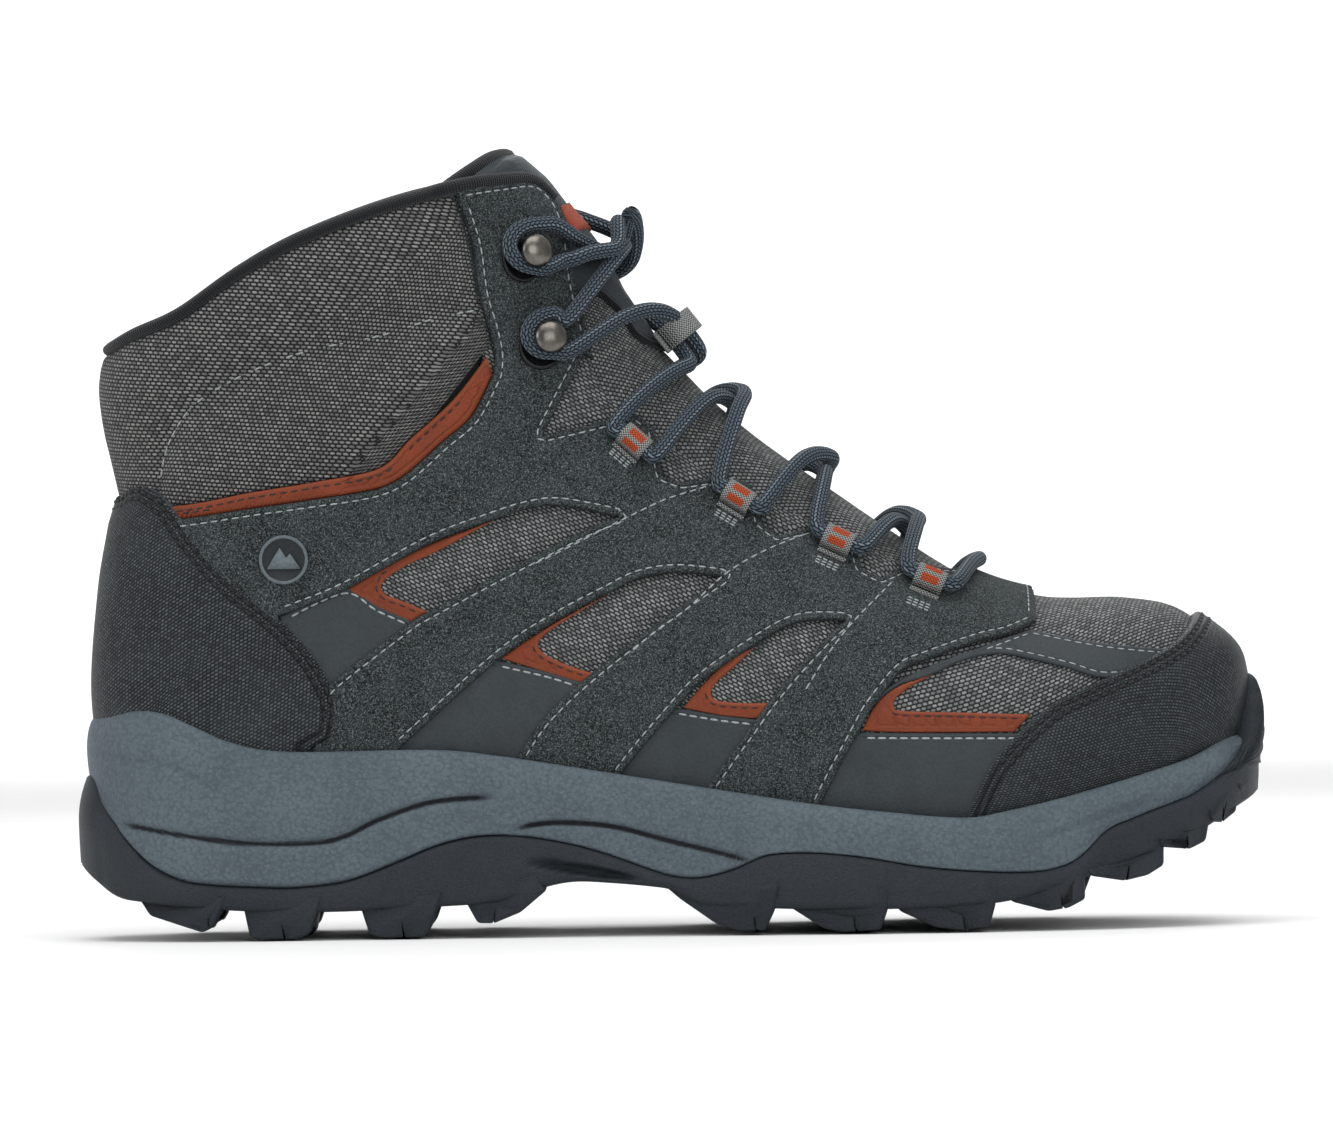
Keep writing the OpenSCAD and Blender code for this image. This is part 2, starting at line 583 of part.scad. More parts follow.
// ------------------------------------------------------------------- outer pieces
module vamp_mesh() {
    color("#5a5f60") scale(size_k) intersection() {
        layer(mesh_in, 0, [for (k = [0:16]) k], all_columns);
        side_prism(concat(spline(vamp_seam), [[300, 104], [300, 0], [120, 0]]));
        outside_throat();
    }
}
module quarter_mesh(columns) {
    color("#565b5c") scale(size_k) difference() {
        intersection() {
            layer(mesh_in, 0, [for (k = [8:36]) k], columns);
            below_collar(2.3);
            outside_throat();
        }
        side_prism(concat([for (p = spline(vamp_seam)) p - [0.2, 0]],
                          [[300, 104], [300, 0], [120, 0]]));
        above_seam(0.25);
    }
}
module quarter_mesh_lateral() { quarter_mesh(lateral_columns); }
module quarter_mesh_medial() { quarter_mesh(medial_columns); }
module collar_panel() {
    color("#474949") scale(size_k) intersection() {
        layer(mesh_in, 0, [for (k = [22:36]) k], heel_columns(9));
        below_collar(2.3);
        above_seam();
    }
}
accents = [[20, 29, accent_1], [16, 24, accent_2], [11, 18, accent_3],
           [8, 14, accent_4]];
module accent_trim(columns) {
    color("#8a4a30") scale(size_k) {
        intersection() {
            layer(trim_in, trim_in + trim_t, [for (k = [19:33]) k], columns);
            side_prism(concat(spline(accent_outer), spline(accent_inner)));
        }
        for (accent = accents)
            intersection() {
                layer(trim_in, trim_in + trim_t, [for (k = [accent[0]:accent[1]]) k],
                      columns);
                side_prism(accent[2]);
            }
    }
}
module accent_trim_lateral() { accent_trim(lateral_columns); }
module accent_trim_medial() { accent_trim(medial_columns); }
module mudguard(columns) {
    color("#3b4144") scale(size_k) intersection() {
        layer(guard_in, guard_in + guard_t, [for (k = [6:28]) k], columns);
        side_prism(concat(mudguard_top, [[200, 0], [0, 0]]));
    }
}
module mudguard_lateral() { mudguard(lateral_columns); }
module mudguard_medial() { mudguard(medial_columns); }
module vamp_straps() {
    color("#3b4144") scale(size_k)
        for (columns = [lateral_columns, medial_columns])
            intersection() {
                layer(guard_in, guard_in + guard_t, [for (k = [2:14]) k], columns);
                side_prism(vamp_strap);
            }
}
// The suede ends a little way under the heel cover
under_heel_cover = [[-80, 0], [-80, 200], [-34, 107], [-24, 98], [-6, 82], [2, 72],
                    [6, 60], [4, 0]];
module suede_overlay() {
    color("#393e40") scale(size_k) difference() {
        intersection() {
            layer(suede_in, suede_out, [for (k = [6:36]) k], all_columns);
            below_collar(0.3);
            outside_throat();
        }
        side_prism(concat(spline(suede_collar_edge), spline(accent_outer),
                          [[-80, 107], [-80, far], [46, far]]));
        side_prism(under_heel_cover);
        for (outline = [window_1, window_2, window_3, window_4])
            side_prism(outline);
    }
}
module toe_cap() {
    color("#353a3d") scale(size_k) intersection() {
        layer(cap_in, cap_out, [for (k = [0:11]) k], all_columns);
        side_prism(concat(spline(toe_cap_edge), [[280, 22], [280, 90]]));
    }
}
module heel_cover() {
    color("#2d3133") scale(size_k) intersection() {
        layer(cap_in, cap_out, [for (k = [17:32]) k], heel_columns(6));
        side_prism(concat(spline(heel_cover_edge), [[-60, 44]]));
    }
}

// ---------------------------------------------------------------------- tongue
tongue_planes = [for (k = [9:36]) k];
tongue_columns = [for (k = [6:14]) k];
tongue_panel_edge = [[70, 160], [82.7, 167.8], [87.9, 165.4], [91.8, 161.4],
                     [96.1, 155.6], [112, 150]];
tongue_top = [[34, 183], [40, 190], [45, 194.3], [54, 201.4], [61, 206.4],
              [68, 207.6]];
module tongue_layer(o_in, o_out, lower = 0) {
    intersection() {
        layer(o_in, o_out, tongue_planes, tongue_columns);
        side_prism(throat_region(0, tongue_start));
        side_prism(concat([for (p = spline(tongue_top)) p - [0, lower]],
                          [[far, 207], [far, 0], [-far, 0], [-far, 183]]));
    }
}
module tongue_panel() {
    color("#3b4144") scale(size_k) intersection() {
        tongue_layer(tongue_skin_in, tongue_out, 2.2);
        side_prism(concat(tongue_panel_edge, [[far, 150], [far, far], [0, far],
                                              [0, 160]]));
    }
}
module tongue_mesh() {
    color("#55595a") scale(size_k) difference() {
        tongue_layer(tongue_skin_in, tongue_out, 2.2);
        side_prism(concat([for (p = tongue_panel_edge) p - [0, 0.2]],
                          [[far, 149.8], [far, far], [0, far], [0, 159.8]]));
    }
}
module tongue_foam() {
    color("#c9c4b4") scale(size_k)
        tongue_layer(tongue_foam_in, tongue_skin_in - 0.1, 2.2);
}
module tongue_lining() {
    color("#54585a") scale(size_k)
        tongue_layer(tongue_foam_in - 0.1 - lining_t, tongue_foam_in - 0.1, 2.2);
}
module tongue_binding() {
    color("#1b1f22") scale(size_k) difference() {
        tongue_layer(tongue_foam_in - 0.1 - lining_t, tongue_out + 0.1);
        side_prism(concat([for (p = spline(tongue_top)) p - [0, 2.1]],
                          [[far, 205], [far, 0], [-far, 0], [-far, 180]]));
    }
}
label_outline = [[74.4, 190.6], [77.6, 182.4], [90, 186], [90, 198]];
module tongue_label() {
    color("#a8583a") scale(size_k) intersection() {
        layer(tongue_out + gap, tongue_out + 0.75, [for (k = [20:36]) k],
              [for (k = [7:13]) k]);
        side_prism(label_outline);
    }
}

// ---------------------------------------------------------------------- lacing
// Orients its children on the boot: z along the surface normal, x towards a second
// point of the side view
module on_surface(at, towards, medial, o) {
    a = locate(at);
    b = locate(towards);
    va = medial ? 2 - a[1] : a[1];
    vb = medial ? 2 - b[1] : b[1];
    n = last_normal(a[0], va);
    d = last_point(b[0], vb) - last_point(a[0], va);
    flat = d - (d*n)*n;
    t = flat/norm(flat);
    m = cross(n, t);
    translate(off(a[0], va, o))
        rotate([atan2(m.z, n.z), -asin(t.z), atan2(t.y, t.x)])
            children();
}
// Centres of the lace loops and of the hooks in the side view
loop_spots = [[92.5, 126.6], [119.5, 110.7], [145.2, 98.3], [168.4, 87.3]];
loop_heading = [[100, 120], [127, 106], [153, 94.5], [176, 84]];
hook_spots = [[64.4, 177.2], [69.4, 154]];
hook_heading = [[74, 179], [79, 156]];
loop_wall = 0.8;
tunnel_w = lace_d + 1.4;
tunnel_h = lace_d + 0.5;
loop_lift = suede_out + 0.25;
lace_in_loop = loop_lift + loop_wall + tunnel_h/2;

module lace_loop() {
    rotate([90, 0, 90])
        linear_extrude(loop_w, center = true)
            difference() {
                translate([-tunnel_w/2 - loop_wall, 0])
                    square([tunnel_w + 2*loop_wall, tunnel_h + 2*loop_wall]);
                translate([-tunnel_w/2, loop_wall]) square([tunnel_w, tunnel_h]);
            }
}
module lace_loops(medial) {
    color("#8d8f88") scale(size_k)
        for (i = [0:3])
            on_surface(loop_spots[i], loop_heading[i], medial, loop_lift)
                lace_loop();
}
module lace_loops_lateral() { lace_loops(false); }
module lace_loops_medial() { lace_loops(true); }

disc_t = 0.8;
post_d = 2.6;
dome_lift = disc_t + lace_d + 1.4;
dome_h = 2.6;
module at_hooks() {
    for (i = [0, 1]) for (medial = [false, true])
        on_surface(hook_spots[i], hook_heading[i], medial, suede_out + 0.4)
            children();
}
module hook_backings() {
    color("#2b2b2b") scale(size_k) at_hooks()
        difference() {
            cylinder(h = disc_t, d = hook_disc_d, $fn = 40);
            translate([0, 0, -1]) cylinder(h = 3, d = post_d + 0.1, $fn = 32);
        }
}
module hook() {
    rotate_extrude($fn = 40)
        polygon(concat([[0, 0.1], [post_d/2, 0.1], [post_d/2, dome_lift]],
                       [for (a = [0:15:90]) [hook_dome_d/2*cos(a),
                                            dome_lift + 0.5 + dome_h*sin(a)]]));
}
module lace_hooks() {
    color("#7b7670") scale(size_k) at_hooks() hook();
}

// The lace runs along the surface: each control point is [u, v, offset].  Its first
// half is listed from the lateral tail down to the toe; the second half mirrors it
// and crosses it above the ridge.
lace_low = tongue_out + lace_d/2 + 0.3;
lace_high = lace_low + lace_d + 0.3;
knot_lift = 5.9;
tail_level = suede_out + lace_d/2 + 0.3;
hook_level = suede_out + 0.4 + disc_t + lace_d/2 + 0.25;
wrap_r = post_d/2 + lace_d/2 + 0.8;
function on_side(p, o) = [locate(p)[0], locate(p)[1], o];
function beside(from, towards, ahead, across) =
    let (d = (towards - from)/norm(towards - from))
    from + ahead*d + across*[-d.y, d.x];
function through_loop(i) =
    [for (q = [[-loop_w/2 - 3.5, 1.2], [-loop_w/2 - 0.6, 0], [0, 0],
               [loop_w/2 + 0.6, 0], [loop_w/2 + 3.5, 1.2]])
        on_side(beside(loop_spots[i], loop_heading[i], q[0], q[1]), lace_in_loop)];
function round_hook(i) =
    let (clear = hook_disc_d/2 + 1.5,
         arc = [for (a = [90, 135, 180, 225, 270]) wrap_r*[cos(a), sin(a)]])
    [for (q = concat([[clear, wrap_r]], arc, [[clear, -wrap_r]]))
        on_side(beside(hook_spots[i], hook_heading[i], q[0], q[1]), hook_level)];
function other_side(list) = [for (p = list) [p[0], 2 - p[1], p[2]]];
// From a loop to the next crossing of the ridge and from there to the next loop
function over_ridge(a, u, b, o) =
    [[(a[0] + u)/2, (a[1] + 1)/2, (a[2] + o)/2 + 0.6], [u, 1, o],
     [(b[0] + u)/2, (b[1] + 1)/2, (b[2] + o)/2 + 0.6]];
// Both tails hang behind the hooks on the medial side, from the tip to the knot
first_tail = other_side([on_side([44, 158], tail_level), on_side([48, 172], tail_level),
                         on_side([57, 184], tail_level), on_side([72, 187], 7),
                         on_side([83, 179], 12)]);
second_tail = [on_side([48, 148], tail_level), on_side([54, 158], tail_level),
               on_side([62, 165], tail_level), on_side([74, 168], 7.5),
               on_side([85, 172], 13)];
keeper_station = 8.2;
keeper_rise = 1.4;
mouth_u = 0.36;
mouth_v = 0.07;
crossings = [7.25, 6.3, 5.5];
function half_lace(o, tail) =
    let (loops = [for (i = [0:3]) i % 2 == 0 ? through_loop(i)
                                             : other_side(through_loop(i))])
    concat(tail, [[10.3, 1, o + knot_lift]],
           [on_side([84, 176.4], 8.2), on_side([76, 175.2], 7.8)],
           reversed(round_hook(0)), [on_side([82, 178], 3.4)],
           [[9.75, 1, o]], other_side(round_hook(1)),
           [for (k = [1, 0, -1])
               [keeper_station + k*mouth_u, 1 + k*mouth_v, o + keeper_rise]],
           loops[0],
           [for (i = [0:2])
               each concat(over_ridge(loops[i][4], crossings[i], loops[i + 1][0], o),
                           loops[i + 1])]);
toe_bar = [[4.95, 0.88, tail_level + 0.2], [4.85, 1, tail_level + 0.4],
           [4.95, 1.12, tail_level + 0.2]];
lace_controls = concat(half_lace(lace_low, first_tail), reversed(toe_bar),
                       reversed(other_side(half_lace(lace_high, second_tail))));

module tube(line, radius, sides) {
    n = len(line) - 1;
    ring = function (i)
        let (d = line[min(n, i + 1)][0] - line[max(0, i - 1)][0],
             t = d/norm(d),
             c = cross(line[i][1], t),
             s = c/norm(c),
             w = cross(t, s))
        [for (k = [0:sides - 1])
            line[i][0] + radius*(cos(360*k/sides)*s + sin(360*k/sides)*w)];
    polyhedron([for (i = [0:n]) each ring(i)],
               concat([[for (k = [0:sides - 1]) k]],
                      [[for (k = [sides - 1:-1:0]) n*sides + k]],
                      [for (i = [0:n - 1]) for (k = [0:sides - 1])
                          let (a = i*sides + k, b = i*sides + (k + 1) % sides)
                          each [[a, a + sides, b], [b, a + sides, b + sides]]]));
}
lace_line = [for (p = spline(lace_controls, 2))
                [off(p[0], p[1], p[2]), last_normal(p[0], p[1])]];
aglet_points = 4;
module lace() {
    n = len(lace_line) - 1;
    color("#252b33") scale(size_k)
        tube([for (i = [aglet_points:n - aglet_points]) lace_line[i]], lace_d/2, 6);
}
module aglets() {
    n = len(lace_line) - 1;
    color("#15181b") scale(size_k)
        for (side = [0, 1])
            tube([for (i = [0:aglet_points - 1]) lace_line[side == 0 ? i : n - i]],
                 lace_d/2 - 0.3, 8);
}
// The webbing arch on the tongue that keeps the lace in the middle
keeper_w = 8;
keeper_wall = 0.8;
keeper_inner = 13;
keeper_h = lace_high + keeper_rise + lace_d/2 + 0.4 - tongue_out;
keeper_gap = 0.25;
module keeper_arch() {
    rotate([90, 0, 90])
        linear_extrude(keeper_w, center = true)
            difference() {
                translate([-keeper_inner/2 - keeper_wall, 0])
                    square([keeper_inner + 2*keeper_wall, keeper_h + keeper_wall]);
                translate([-keeper_inner/2, keeper_wall])
                    square([keeper_inner, keeper_h - keeper_wall]);
            }
}
module tongue_keeper() {
    n = last_normal(keeper_station, 1);
    color("#8d8f88") scale(size_k)
        translate(off(keeper_station, 1, tongue_out + keeper_gap))
            rotate([0, atan2(n.x, n.z), 0])
                keeper_arch();
}

peak = [[-4.4, -2.6], [-1.4, 2.8], [0.2, 0.2], [1.6, 2], [4.4, -2.6]];
module badge() {
    color("#4a5254") scale(size_k)
        on_surface([1.6, 98.7], [12, 98.7], false, suede_out + 0.25) {
            difference() {
                cylinder(h = 0.9, d = badge_d, $fn = 48);
                translate([0, 0, 0.4]) cylinder(h = 1, d = badge_d - 2.4, $fn = 48);
            }
            translate([0, 0, 0.3])
                linear_extrude(0.5) polygon(peak);
        }
}

outsole();
midsole();
shank();
insole_board();
footbed();
bootie_lining();
collar_lining();
collar_foam();
collar_binding();
vamp_mesh();
quarter_mesh_lateral();
quarter_mesh_medial();
collar_panel();
accent_trim_lateral();
accent_trim_medial();
mudguard_lateral();
mudguard_medial();
vamp_straps();
suede_overlay();
toe_cap();
heel_cover();
heel_counter();
toe_puff();
tongue_gussets();
tongue_panel();
tongue_mesh();
tongue_foam();
tongue_lining();
tongue_binding();
tongue_label();
tongue_keeper();
lace();
aglets();
lace_loops_lateral();
lace_loops_medial();
hook_backings();
lace_hooks();
badge();
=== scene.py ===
import math
from collections import Counter

import bmesh
import bpy
import numpy as np
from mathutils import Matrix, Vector, kdtree
from mathutils.geometry import delaunay_2d_cdt


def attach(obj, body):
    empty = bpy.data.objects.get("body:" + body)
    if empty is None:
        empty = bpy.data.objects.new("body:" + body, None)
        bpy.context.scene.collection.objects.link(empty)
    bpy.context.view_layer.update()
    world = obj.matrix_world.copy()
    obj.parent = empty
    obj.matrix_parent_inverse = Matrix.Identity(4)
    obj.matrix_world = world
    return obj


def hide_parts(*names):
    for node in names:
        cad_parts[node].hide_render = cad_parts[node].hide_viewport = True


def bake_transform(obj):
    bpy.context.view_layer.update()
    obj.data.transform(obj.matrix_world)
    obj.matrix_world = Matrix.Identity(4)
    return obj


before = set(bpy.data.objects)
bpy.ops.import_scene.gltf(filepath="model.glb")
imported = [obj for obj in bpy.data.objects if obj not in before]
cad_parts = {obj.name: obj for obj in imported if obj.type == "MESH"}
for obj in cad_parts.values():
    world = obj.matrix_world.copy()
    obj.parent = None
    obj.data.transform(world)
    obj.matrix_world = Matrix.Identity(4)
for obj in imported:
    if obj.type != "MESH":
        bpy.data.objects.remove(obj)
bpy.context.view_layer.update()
MM = 0.001
A = np.array

# ------------------------------------------------------------------ surface of the last
# Nineteen slanted section planes from the toe (0) to the top of the ankle (18), in mm
LAST_N, HEEL = 18, 12
BASE = A([(245.5, 40), (243, 38.5), (235, 36), (221, 31.5), (200, 26.5), (172, 24.5),
          (142, 26), (108, 30), (70, 33), (30, 35), (-8, 37.5), (-34, 40), (-44, 46),
          (-47.5, 64), (-45.3, 92), (-41.3, 117), (-44.5, 135), (-46, 152), (-44.5, 168)])
RIDGE = A([(249.8, 60), (247, 72), (237, 81.5), (222, 84.8), (201, 85.6), (178, 93.3),
           (150, 113), (124, 132), (104, 151), (92, 168), (85, 180), (81, 185.5),
           (78, 189), (75.5, 192.3), (72, 197), (69, 200.3), (66, 203.7), (62.5, 207.5),
           (57, 213)])
HALF_LATERAL = A([0, 19, 31, 42, 49.5, 53, 50, 43.5, 38, 36, 35.5, 35.5, 35.5, 35, 34,
                  34, 35.5, 37, 37.5])
HALF_MEDIAL = A([0, 15, 25.5, 35, 42, 46, 42, 35, 33, 34, 34.5, 35, 35, 35, 34, 34, 35.5,
                 37, 37.5])
CENTRE = A([5, 5, 4.5, 4, 3, 2, 1, 0.5] + [0.0]*11)
FOOT = A([0.96]*9 + [0.93] + [0.9]*9)
BELLY = A([0.35, 0.35, 0.35, 0.33, 0.3, 0.3, 0.28, 0.26, 0.24, 0.22, 0.22, 0.26, 0.35,
           0.38, 0.4, 0.42, 0.45, 0.45, 0.45])
CROWN = A([2.3, 2.3, 2.3, 2.3, 2.2, 1.9, 1.6, 1.5, 1.5, 1.55, 1.65, 1.75, 1.85, 1.9, 1.9,
           1.9, 1.9, 1.9, 1.9])
BELLY_POWER = 2.2
HEEL_ROUND = 10


def cubic(a, b, c, d, t):
    return b + 0.5*t*(c - a + t*(2*a - 5*b + 4*c - d + t*(3*(b - c) + d - a)))


def along(table, u, mirror=1.0):
    u = np.asarray(u, float)
    end = 2*table[-1] - table[-2]
    ext = np.concatenate([[mirror*table[2], mirror*table[1]], table, [end, end, end]])
    i = np.floor(u).astype(int)
    t = u - i
    if table.ndim == 2:
        t = t[..., None]
    i = np.clip(i, -1, LAST_N) + 2
    return cubic(ext[i - 1], ext[i], ext[i + 1], ext[i + 2], t)


def foot_share(u):
    u = np.asarray(u, float)
    centre = BASE[HEEL_ROUND][0]
    reach = centre - BASE[HEEL][0]
    t = np.maximum(0, centre - along(BASE, u)[..., 0])/reach
    return np.where(u >= HEEL, 0, along(FOOT, u)*np.sqrt(np.maximum(0, 1 - t*t)))


def width_ratio(h, belly, foot, q):
    s = 1 - np.power(1 - np.power(foot, BELLY_POWER), 1/BELLY_POWER)
    t_low = np.clip(s + (1 - s)*h/belly, 0, 1)
    low = np.power(1 - np.power(1 - t_low, BELLY_POWER), 1/BELLY_POWER)
    t_up = np.clip((1 - h)/(1 - belly), 0, 1)
    up = np.power(1 - np.power(1 - t_up, q), 1/q)
    return np.where(h < belly, low, up)


# v is 0 at the lateral base, 1 on the ridge and 2 at the medial base; round the heel it
# runs on below 0 to the medial side
def point(u, v):
    u, v = np.broadcast_arrays(np.asarray(u, float), np.asarray(v, float))
    h = (1 - np.cos(np.pi*v))/2
    p = along(BASE, u)*(1 - h)[..., None] + along(RIDGE, u)*h[..., None]
    lateral = (v > 2) | ((v >= 0) & (v <= 1))
    half = np.where(lateral, along(HALF_LATERAL, u, -1), along(HALF_MEDIAL, u, -1))
    ratio = width_ratio(h, along(BELLY, u), foot_share(u), along(CROWN, u))
    y = along(CENTRE, u) + np.where(lateral, -1, 1)*half*ratio
    return np.stack([p[..., 0], y, p[..., 1]], -1)


def unit(a):
    return a/np.maximum(np.linalg.norm(a, axis=-1, keepdims=True), 1e-9)


def normal(u, v, e=0.02):
    u, v = np.broadcast_arrays(np.asarray(u, float), np.asarray(v, float))
    s = np.maximum(u, 2*e)
    low = np.where(v < 0, np.minimum(v, -1.5*e), np.maximum(v, 1.5*e))
    w = np.where(u < HEEL, np.minimum(low, 2 - 1.5*e), v)
    return unit(np.cross(point(s, w + e) - point(s, w - e),
                         point(s + e, w) - point(s - e, w)))


def off(u, v, o):
    return point(u, v) + np.asarray(o, float)[..., None]*normal(u, v)


def locate(p):
    """Section plane and raw height share of side-view points."""
    p = np.atleast_2d(p).astype(float)
    lo, hi = np.zeros(len(p)), np.full(len(p), float(LAST_N))
    for _ in range(26):
        mid = (lo + hi)/2
        b, t = along(BASE, mid), along(RIDGE, mid)
        turn = (t[:, 0] - b[:, 0])*(p[:, 1] - b[:, 1]) - (t[:, 1] - b[:, 1])*(p[:, 0] - b[:, 0])
        lo, hi = np.where(turn > 0, mid, lo), np.where(turn > 0, hi, mid)
    u = (lo + hi)/2
    b = along(BASE, u)
    d = along(RIDGE, u) - b
    return u, np.sum((p - b)*d, axis=1)/np.sum(d*d, axis=1)


def to_v(h):
    return np.arccos(1 - 2*np.clip(h, 0, 1))/np.pi


def at(x, z):
    u, h = locate([(x, z)])
    return float(u[0]), float(to_v(h)[0])


def run_length(p):
    """How far along a path each of its points lies."""
    return np.concatenate([[0], np.cumsum(np.linalg.norm(np.diff(p, axis=0), axis=1))])


# Distances along the girth and along the boot give a flat map with little stretch
U_FINE = np.linspace(0, LAST_N, 361)
V_FINE = np.linspace(0, 1, 41)
GIRTH = np.linalg.norm(np.diff(point(U_FINE[:, None], V_FINE[None, :]), axis=1), axis=2).sum(1)
LENGTH = run_length(point(U_FINE, np.full_like(U_FINE, 0.55)))


def to_map(uv, wrap):
    u, v = uv[:, 0], uv[:, 1]
    y = (v if wrap else v - 1)*np.interp(u, U_FINE, GIRTH)
    return np.stack([np.interp(u, U_FINE, LENGTH), y], -1)


def from_map(xy, wrap):
    u = np.interp(xy[:, 0], LENGTH, U_FINE)
    v = xy[:, 1]/np.interp(u, U_FINE, GIRTH) + (0 if wrap else 1)
    return np.stack([u, v], -1)


# ------------------------------------------------------------------ outlines, side view
def curve(knots, step):
    """Points along a smooth line; each knot is four neighbouring points."""
    out = []
    for a, b, c, d in knots:
        m = max(2, int(np.linalg.norm(c - b)/step))
        out += [cubic(a, b, c, d, k/m) for k in range(m)]
    return A(out + [c])


def windows_of_four(p):
    """Each stretch of a line with the points before and after it."""
    p = np.concatenate([p[:1], p, p[-1:]])
    return [p[i:i + 4] for i in range(len(p) - 3)]


def spline(points, step=1.0):
    """A smooth open line through the points."""
    return curve(windows_of_four(A(points, float)), step)


def closed(points, step=1.0, corners=()):
    """A smooth closed outline; corners are the indices of points that stay sharp."""
    p = A(points, float)
    n = len(p)
    knots = []
    for i in range(n):
        a, b, c, d = p[i - 1], p[i], p[(i + 1) % n], p[(i + 2) % n]
        knots.append((b if i in corners else a, b, c, c if (i + 1) % n in corners else d))
    return curve(knots, step)


def crossed(edges, x, z):
    """Whether a ray from each point crosses the edges an odd number of times."""
    hit = np.zeros(x.shape, bool)
    for (x0, z0), (x1, z1) in edges:
        if z0 != z1:
            hit ^= ((z0 > z) != (z1 > z)) & (x < (x1 - x0)*(z - z0)/(z1 - z0) + x0)
    return hit


def inside(outline, x, z):
    return crossed(zip(outline[:-1], outline[1:]), x, z)


def height_on(line, x):
    return np.interp(x, line[:, 0], line[:, 1])


def area(*lines):
    """The closed outline made of the lines one after the other."""
    p = np.concatenate([A(line, float) for line in lines])
    return np.concatenate([p, p[:1]])


FAR = 500.0
COLLAR_TOP = spline([(-60, 150), (-44.4, 154.7), (-38, 157.7), (-25, 162.5), (-9, 173),
                     (6.8, 181.4), (27.9, 189.4), (45.2, 194.3), (59.4, 196.5),
                     (67.2, 196.3), (72.4, 191.3)])
EYESTAY = spline([(72.4, 191.3), (75.2, 184.4), (77.8, 169.5), (81.5, 154.2), (84, 144),
                  (91, 137), (99, 130.5), (112, 121), (125, 114.5), (138, 107.5),
                  (151, 101), (163, 95.5), (174, 92), (182, 94)])
SUEDE_COLLAR = spline([(47, 193.5), (51.3, 179.6), (53.1, 166.2), (56.6, 152.8),
                       (56.5, 146.3)])
ACCENT_OUTER = spline([(56.5, 146.3), (50.8, 135.4), (43.4, 128.9), (30.7, 118.6),
                       (18, 115.5), (-7, 112), (-25, 109.6), (-55, 107)])
ACCENT_INNER = spline([(-55, 111.5), (-25, 113.3), (-7, 116.3), (9.7, 118.8),
                       (26.5, 122.2), (35, 129.9), (45.9, 139.6), (55, 151)])
HEEL_COVER = spline([(-60, 115), (-41, 116.5), (-36.6, 118.8), (-32.4, 118), (-27, 113.2),
                     (-20.3, 103.8), (-12.4, 94.3), (2.1, 81.5), (10.5, 71.5),
                     (15.1, 61.4), (14, 52), (9, 44)])
TOE_CAP = spline([(246, 90), (237.5, 76.9), (228.7, 70.3), (208.7, 61.4), (199.2, 56.9),
                  (187, 46.3), (180, 35), (176, 22)])
WINDOW_EDGES = [
    [(17.1, 90.4), (39.6, 102.1), (56.4, 108.1), (66.1, 110.8), (74.2, 111.2),
     (88.9, 108.1), (80.7, 105.1), (67.8, 99), (39, 84.5), (32.4, 80.5), (14, 67),
     (4, 58), (0, 84)],
    [(57.9, 72.2), (73.3, 81.9), (85.9, 88.2), (94.4, 92), (104, 93.2), (116.1, 91.7),
     (104.7, 84.5), (82.7, 68.7), (68.9, 56.6), (60, 44), (50, 30), (20, 30),
     (28, 46.5)],
    [(105, 60), (112.3, 66.6), (123.9, 74), (132.9, 78.9), (139.7, 80.1), (147.5, 79.7),
     (140.4, 73.5), (127.6, 59.6), (108, 34), (96, 20), (78, 25), (90, 43)],
    [(151.3, 52.9), (154.8, 58.4), (162, 66.6), (168.6, 69.4), (182, 73.6),
     (190.1, 75.3), (197.2, 78), (197.6, 88), (197.6, 120), (280, 120), (280, 5),
     (128, 5), (140.5, 33.2)]]
WINDOWS = [closed(w, 1.0, corners) for w, corners in
           zip(WINDOW_EDGES, [(5, 12), (5, 10, 11, 12), (5, 9, 10), (6, 7, 8, 9, 10, 11)])]
# Where the suede opens to the throat between the lace loops
WINDOWS += [closed(w, 1.0, range(len(w))) for w in (
    [(80, 151), (69.2, 129.9), (91.2, 134.6), (97, 141)],
    [(97, 138), (100.5, 118.6), (105.2, 116.6), (111.5, 117.2), (117, 124)],
    [(122, 121), (126.2, 105.5), (130.3, 102.1), (137.4, 103.4), (143, 110)],
    [(148, 108), (152, 92.8), (156.6, 90.2), (161.1, 92.2), (166, 101)])]
ACCENT_EDGES = [
    [(56.4, 108.1), (39.6, 102.1), (26.4, 95.7), (17.1, 90.4), (26.5, 85.3),
     (34.8, 81.7), (39, 84.5), (32.8, 87.3), (27.8, 89.4), (27.2, 92.3), (32.9, 96.4),
     (42.4, 100.7)],
    [(85.9, 88.2), (73.3, 81.9), (64.3, 76.5), (57.9, 72.2), (70.4, 67.8), (80, 64.8),
     (82.7, 67.6), (76.7, 69.5), (70.5, 72.3), (67.6, 74.9), (68.7, 77.5), (73.8, 81.1)],
    [(123.9, 74), (117.8, 71.2), (112.3, 66.6), (105.1, 58.6), (115, 56.4),
     (125.2, 55.4), (127.6, 59.4), (118.4, 59.7), (113.4, 60.6), (112.4, 62.7),
     (114.3, 65.5), (118.6, 69.1)],
    [(169.8, 66), (160.6, 63), (154.8, 58.4), (151.3, 52.1), (161.7, 51.4),
     (190.5, 51), (195, 55.4), (178, 56.2), (161.8, 56.9), (159.7, 58), (160, 60),
     (164, 63.2)]]
ACCENTS = [closed(a, 0.7, (0, 3, 5, 6)) for a in ACCENT_EDGES]
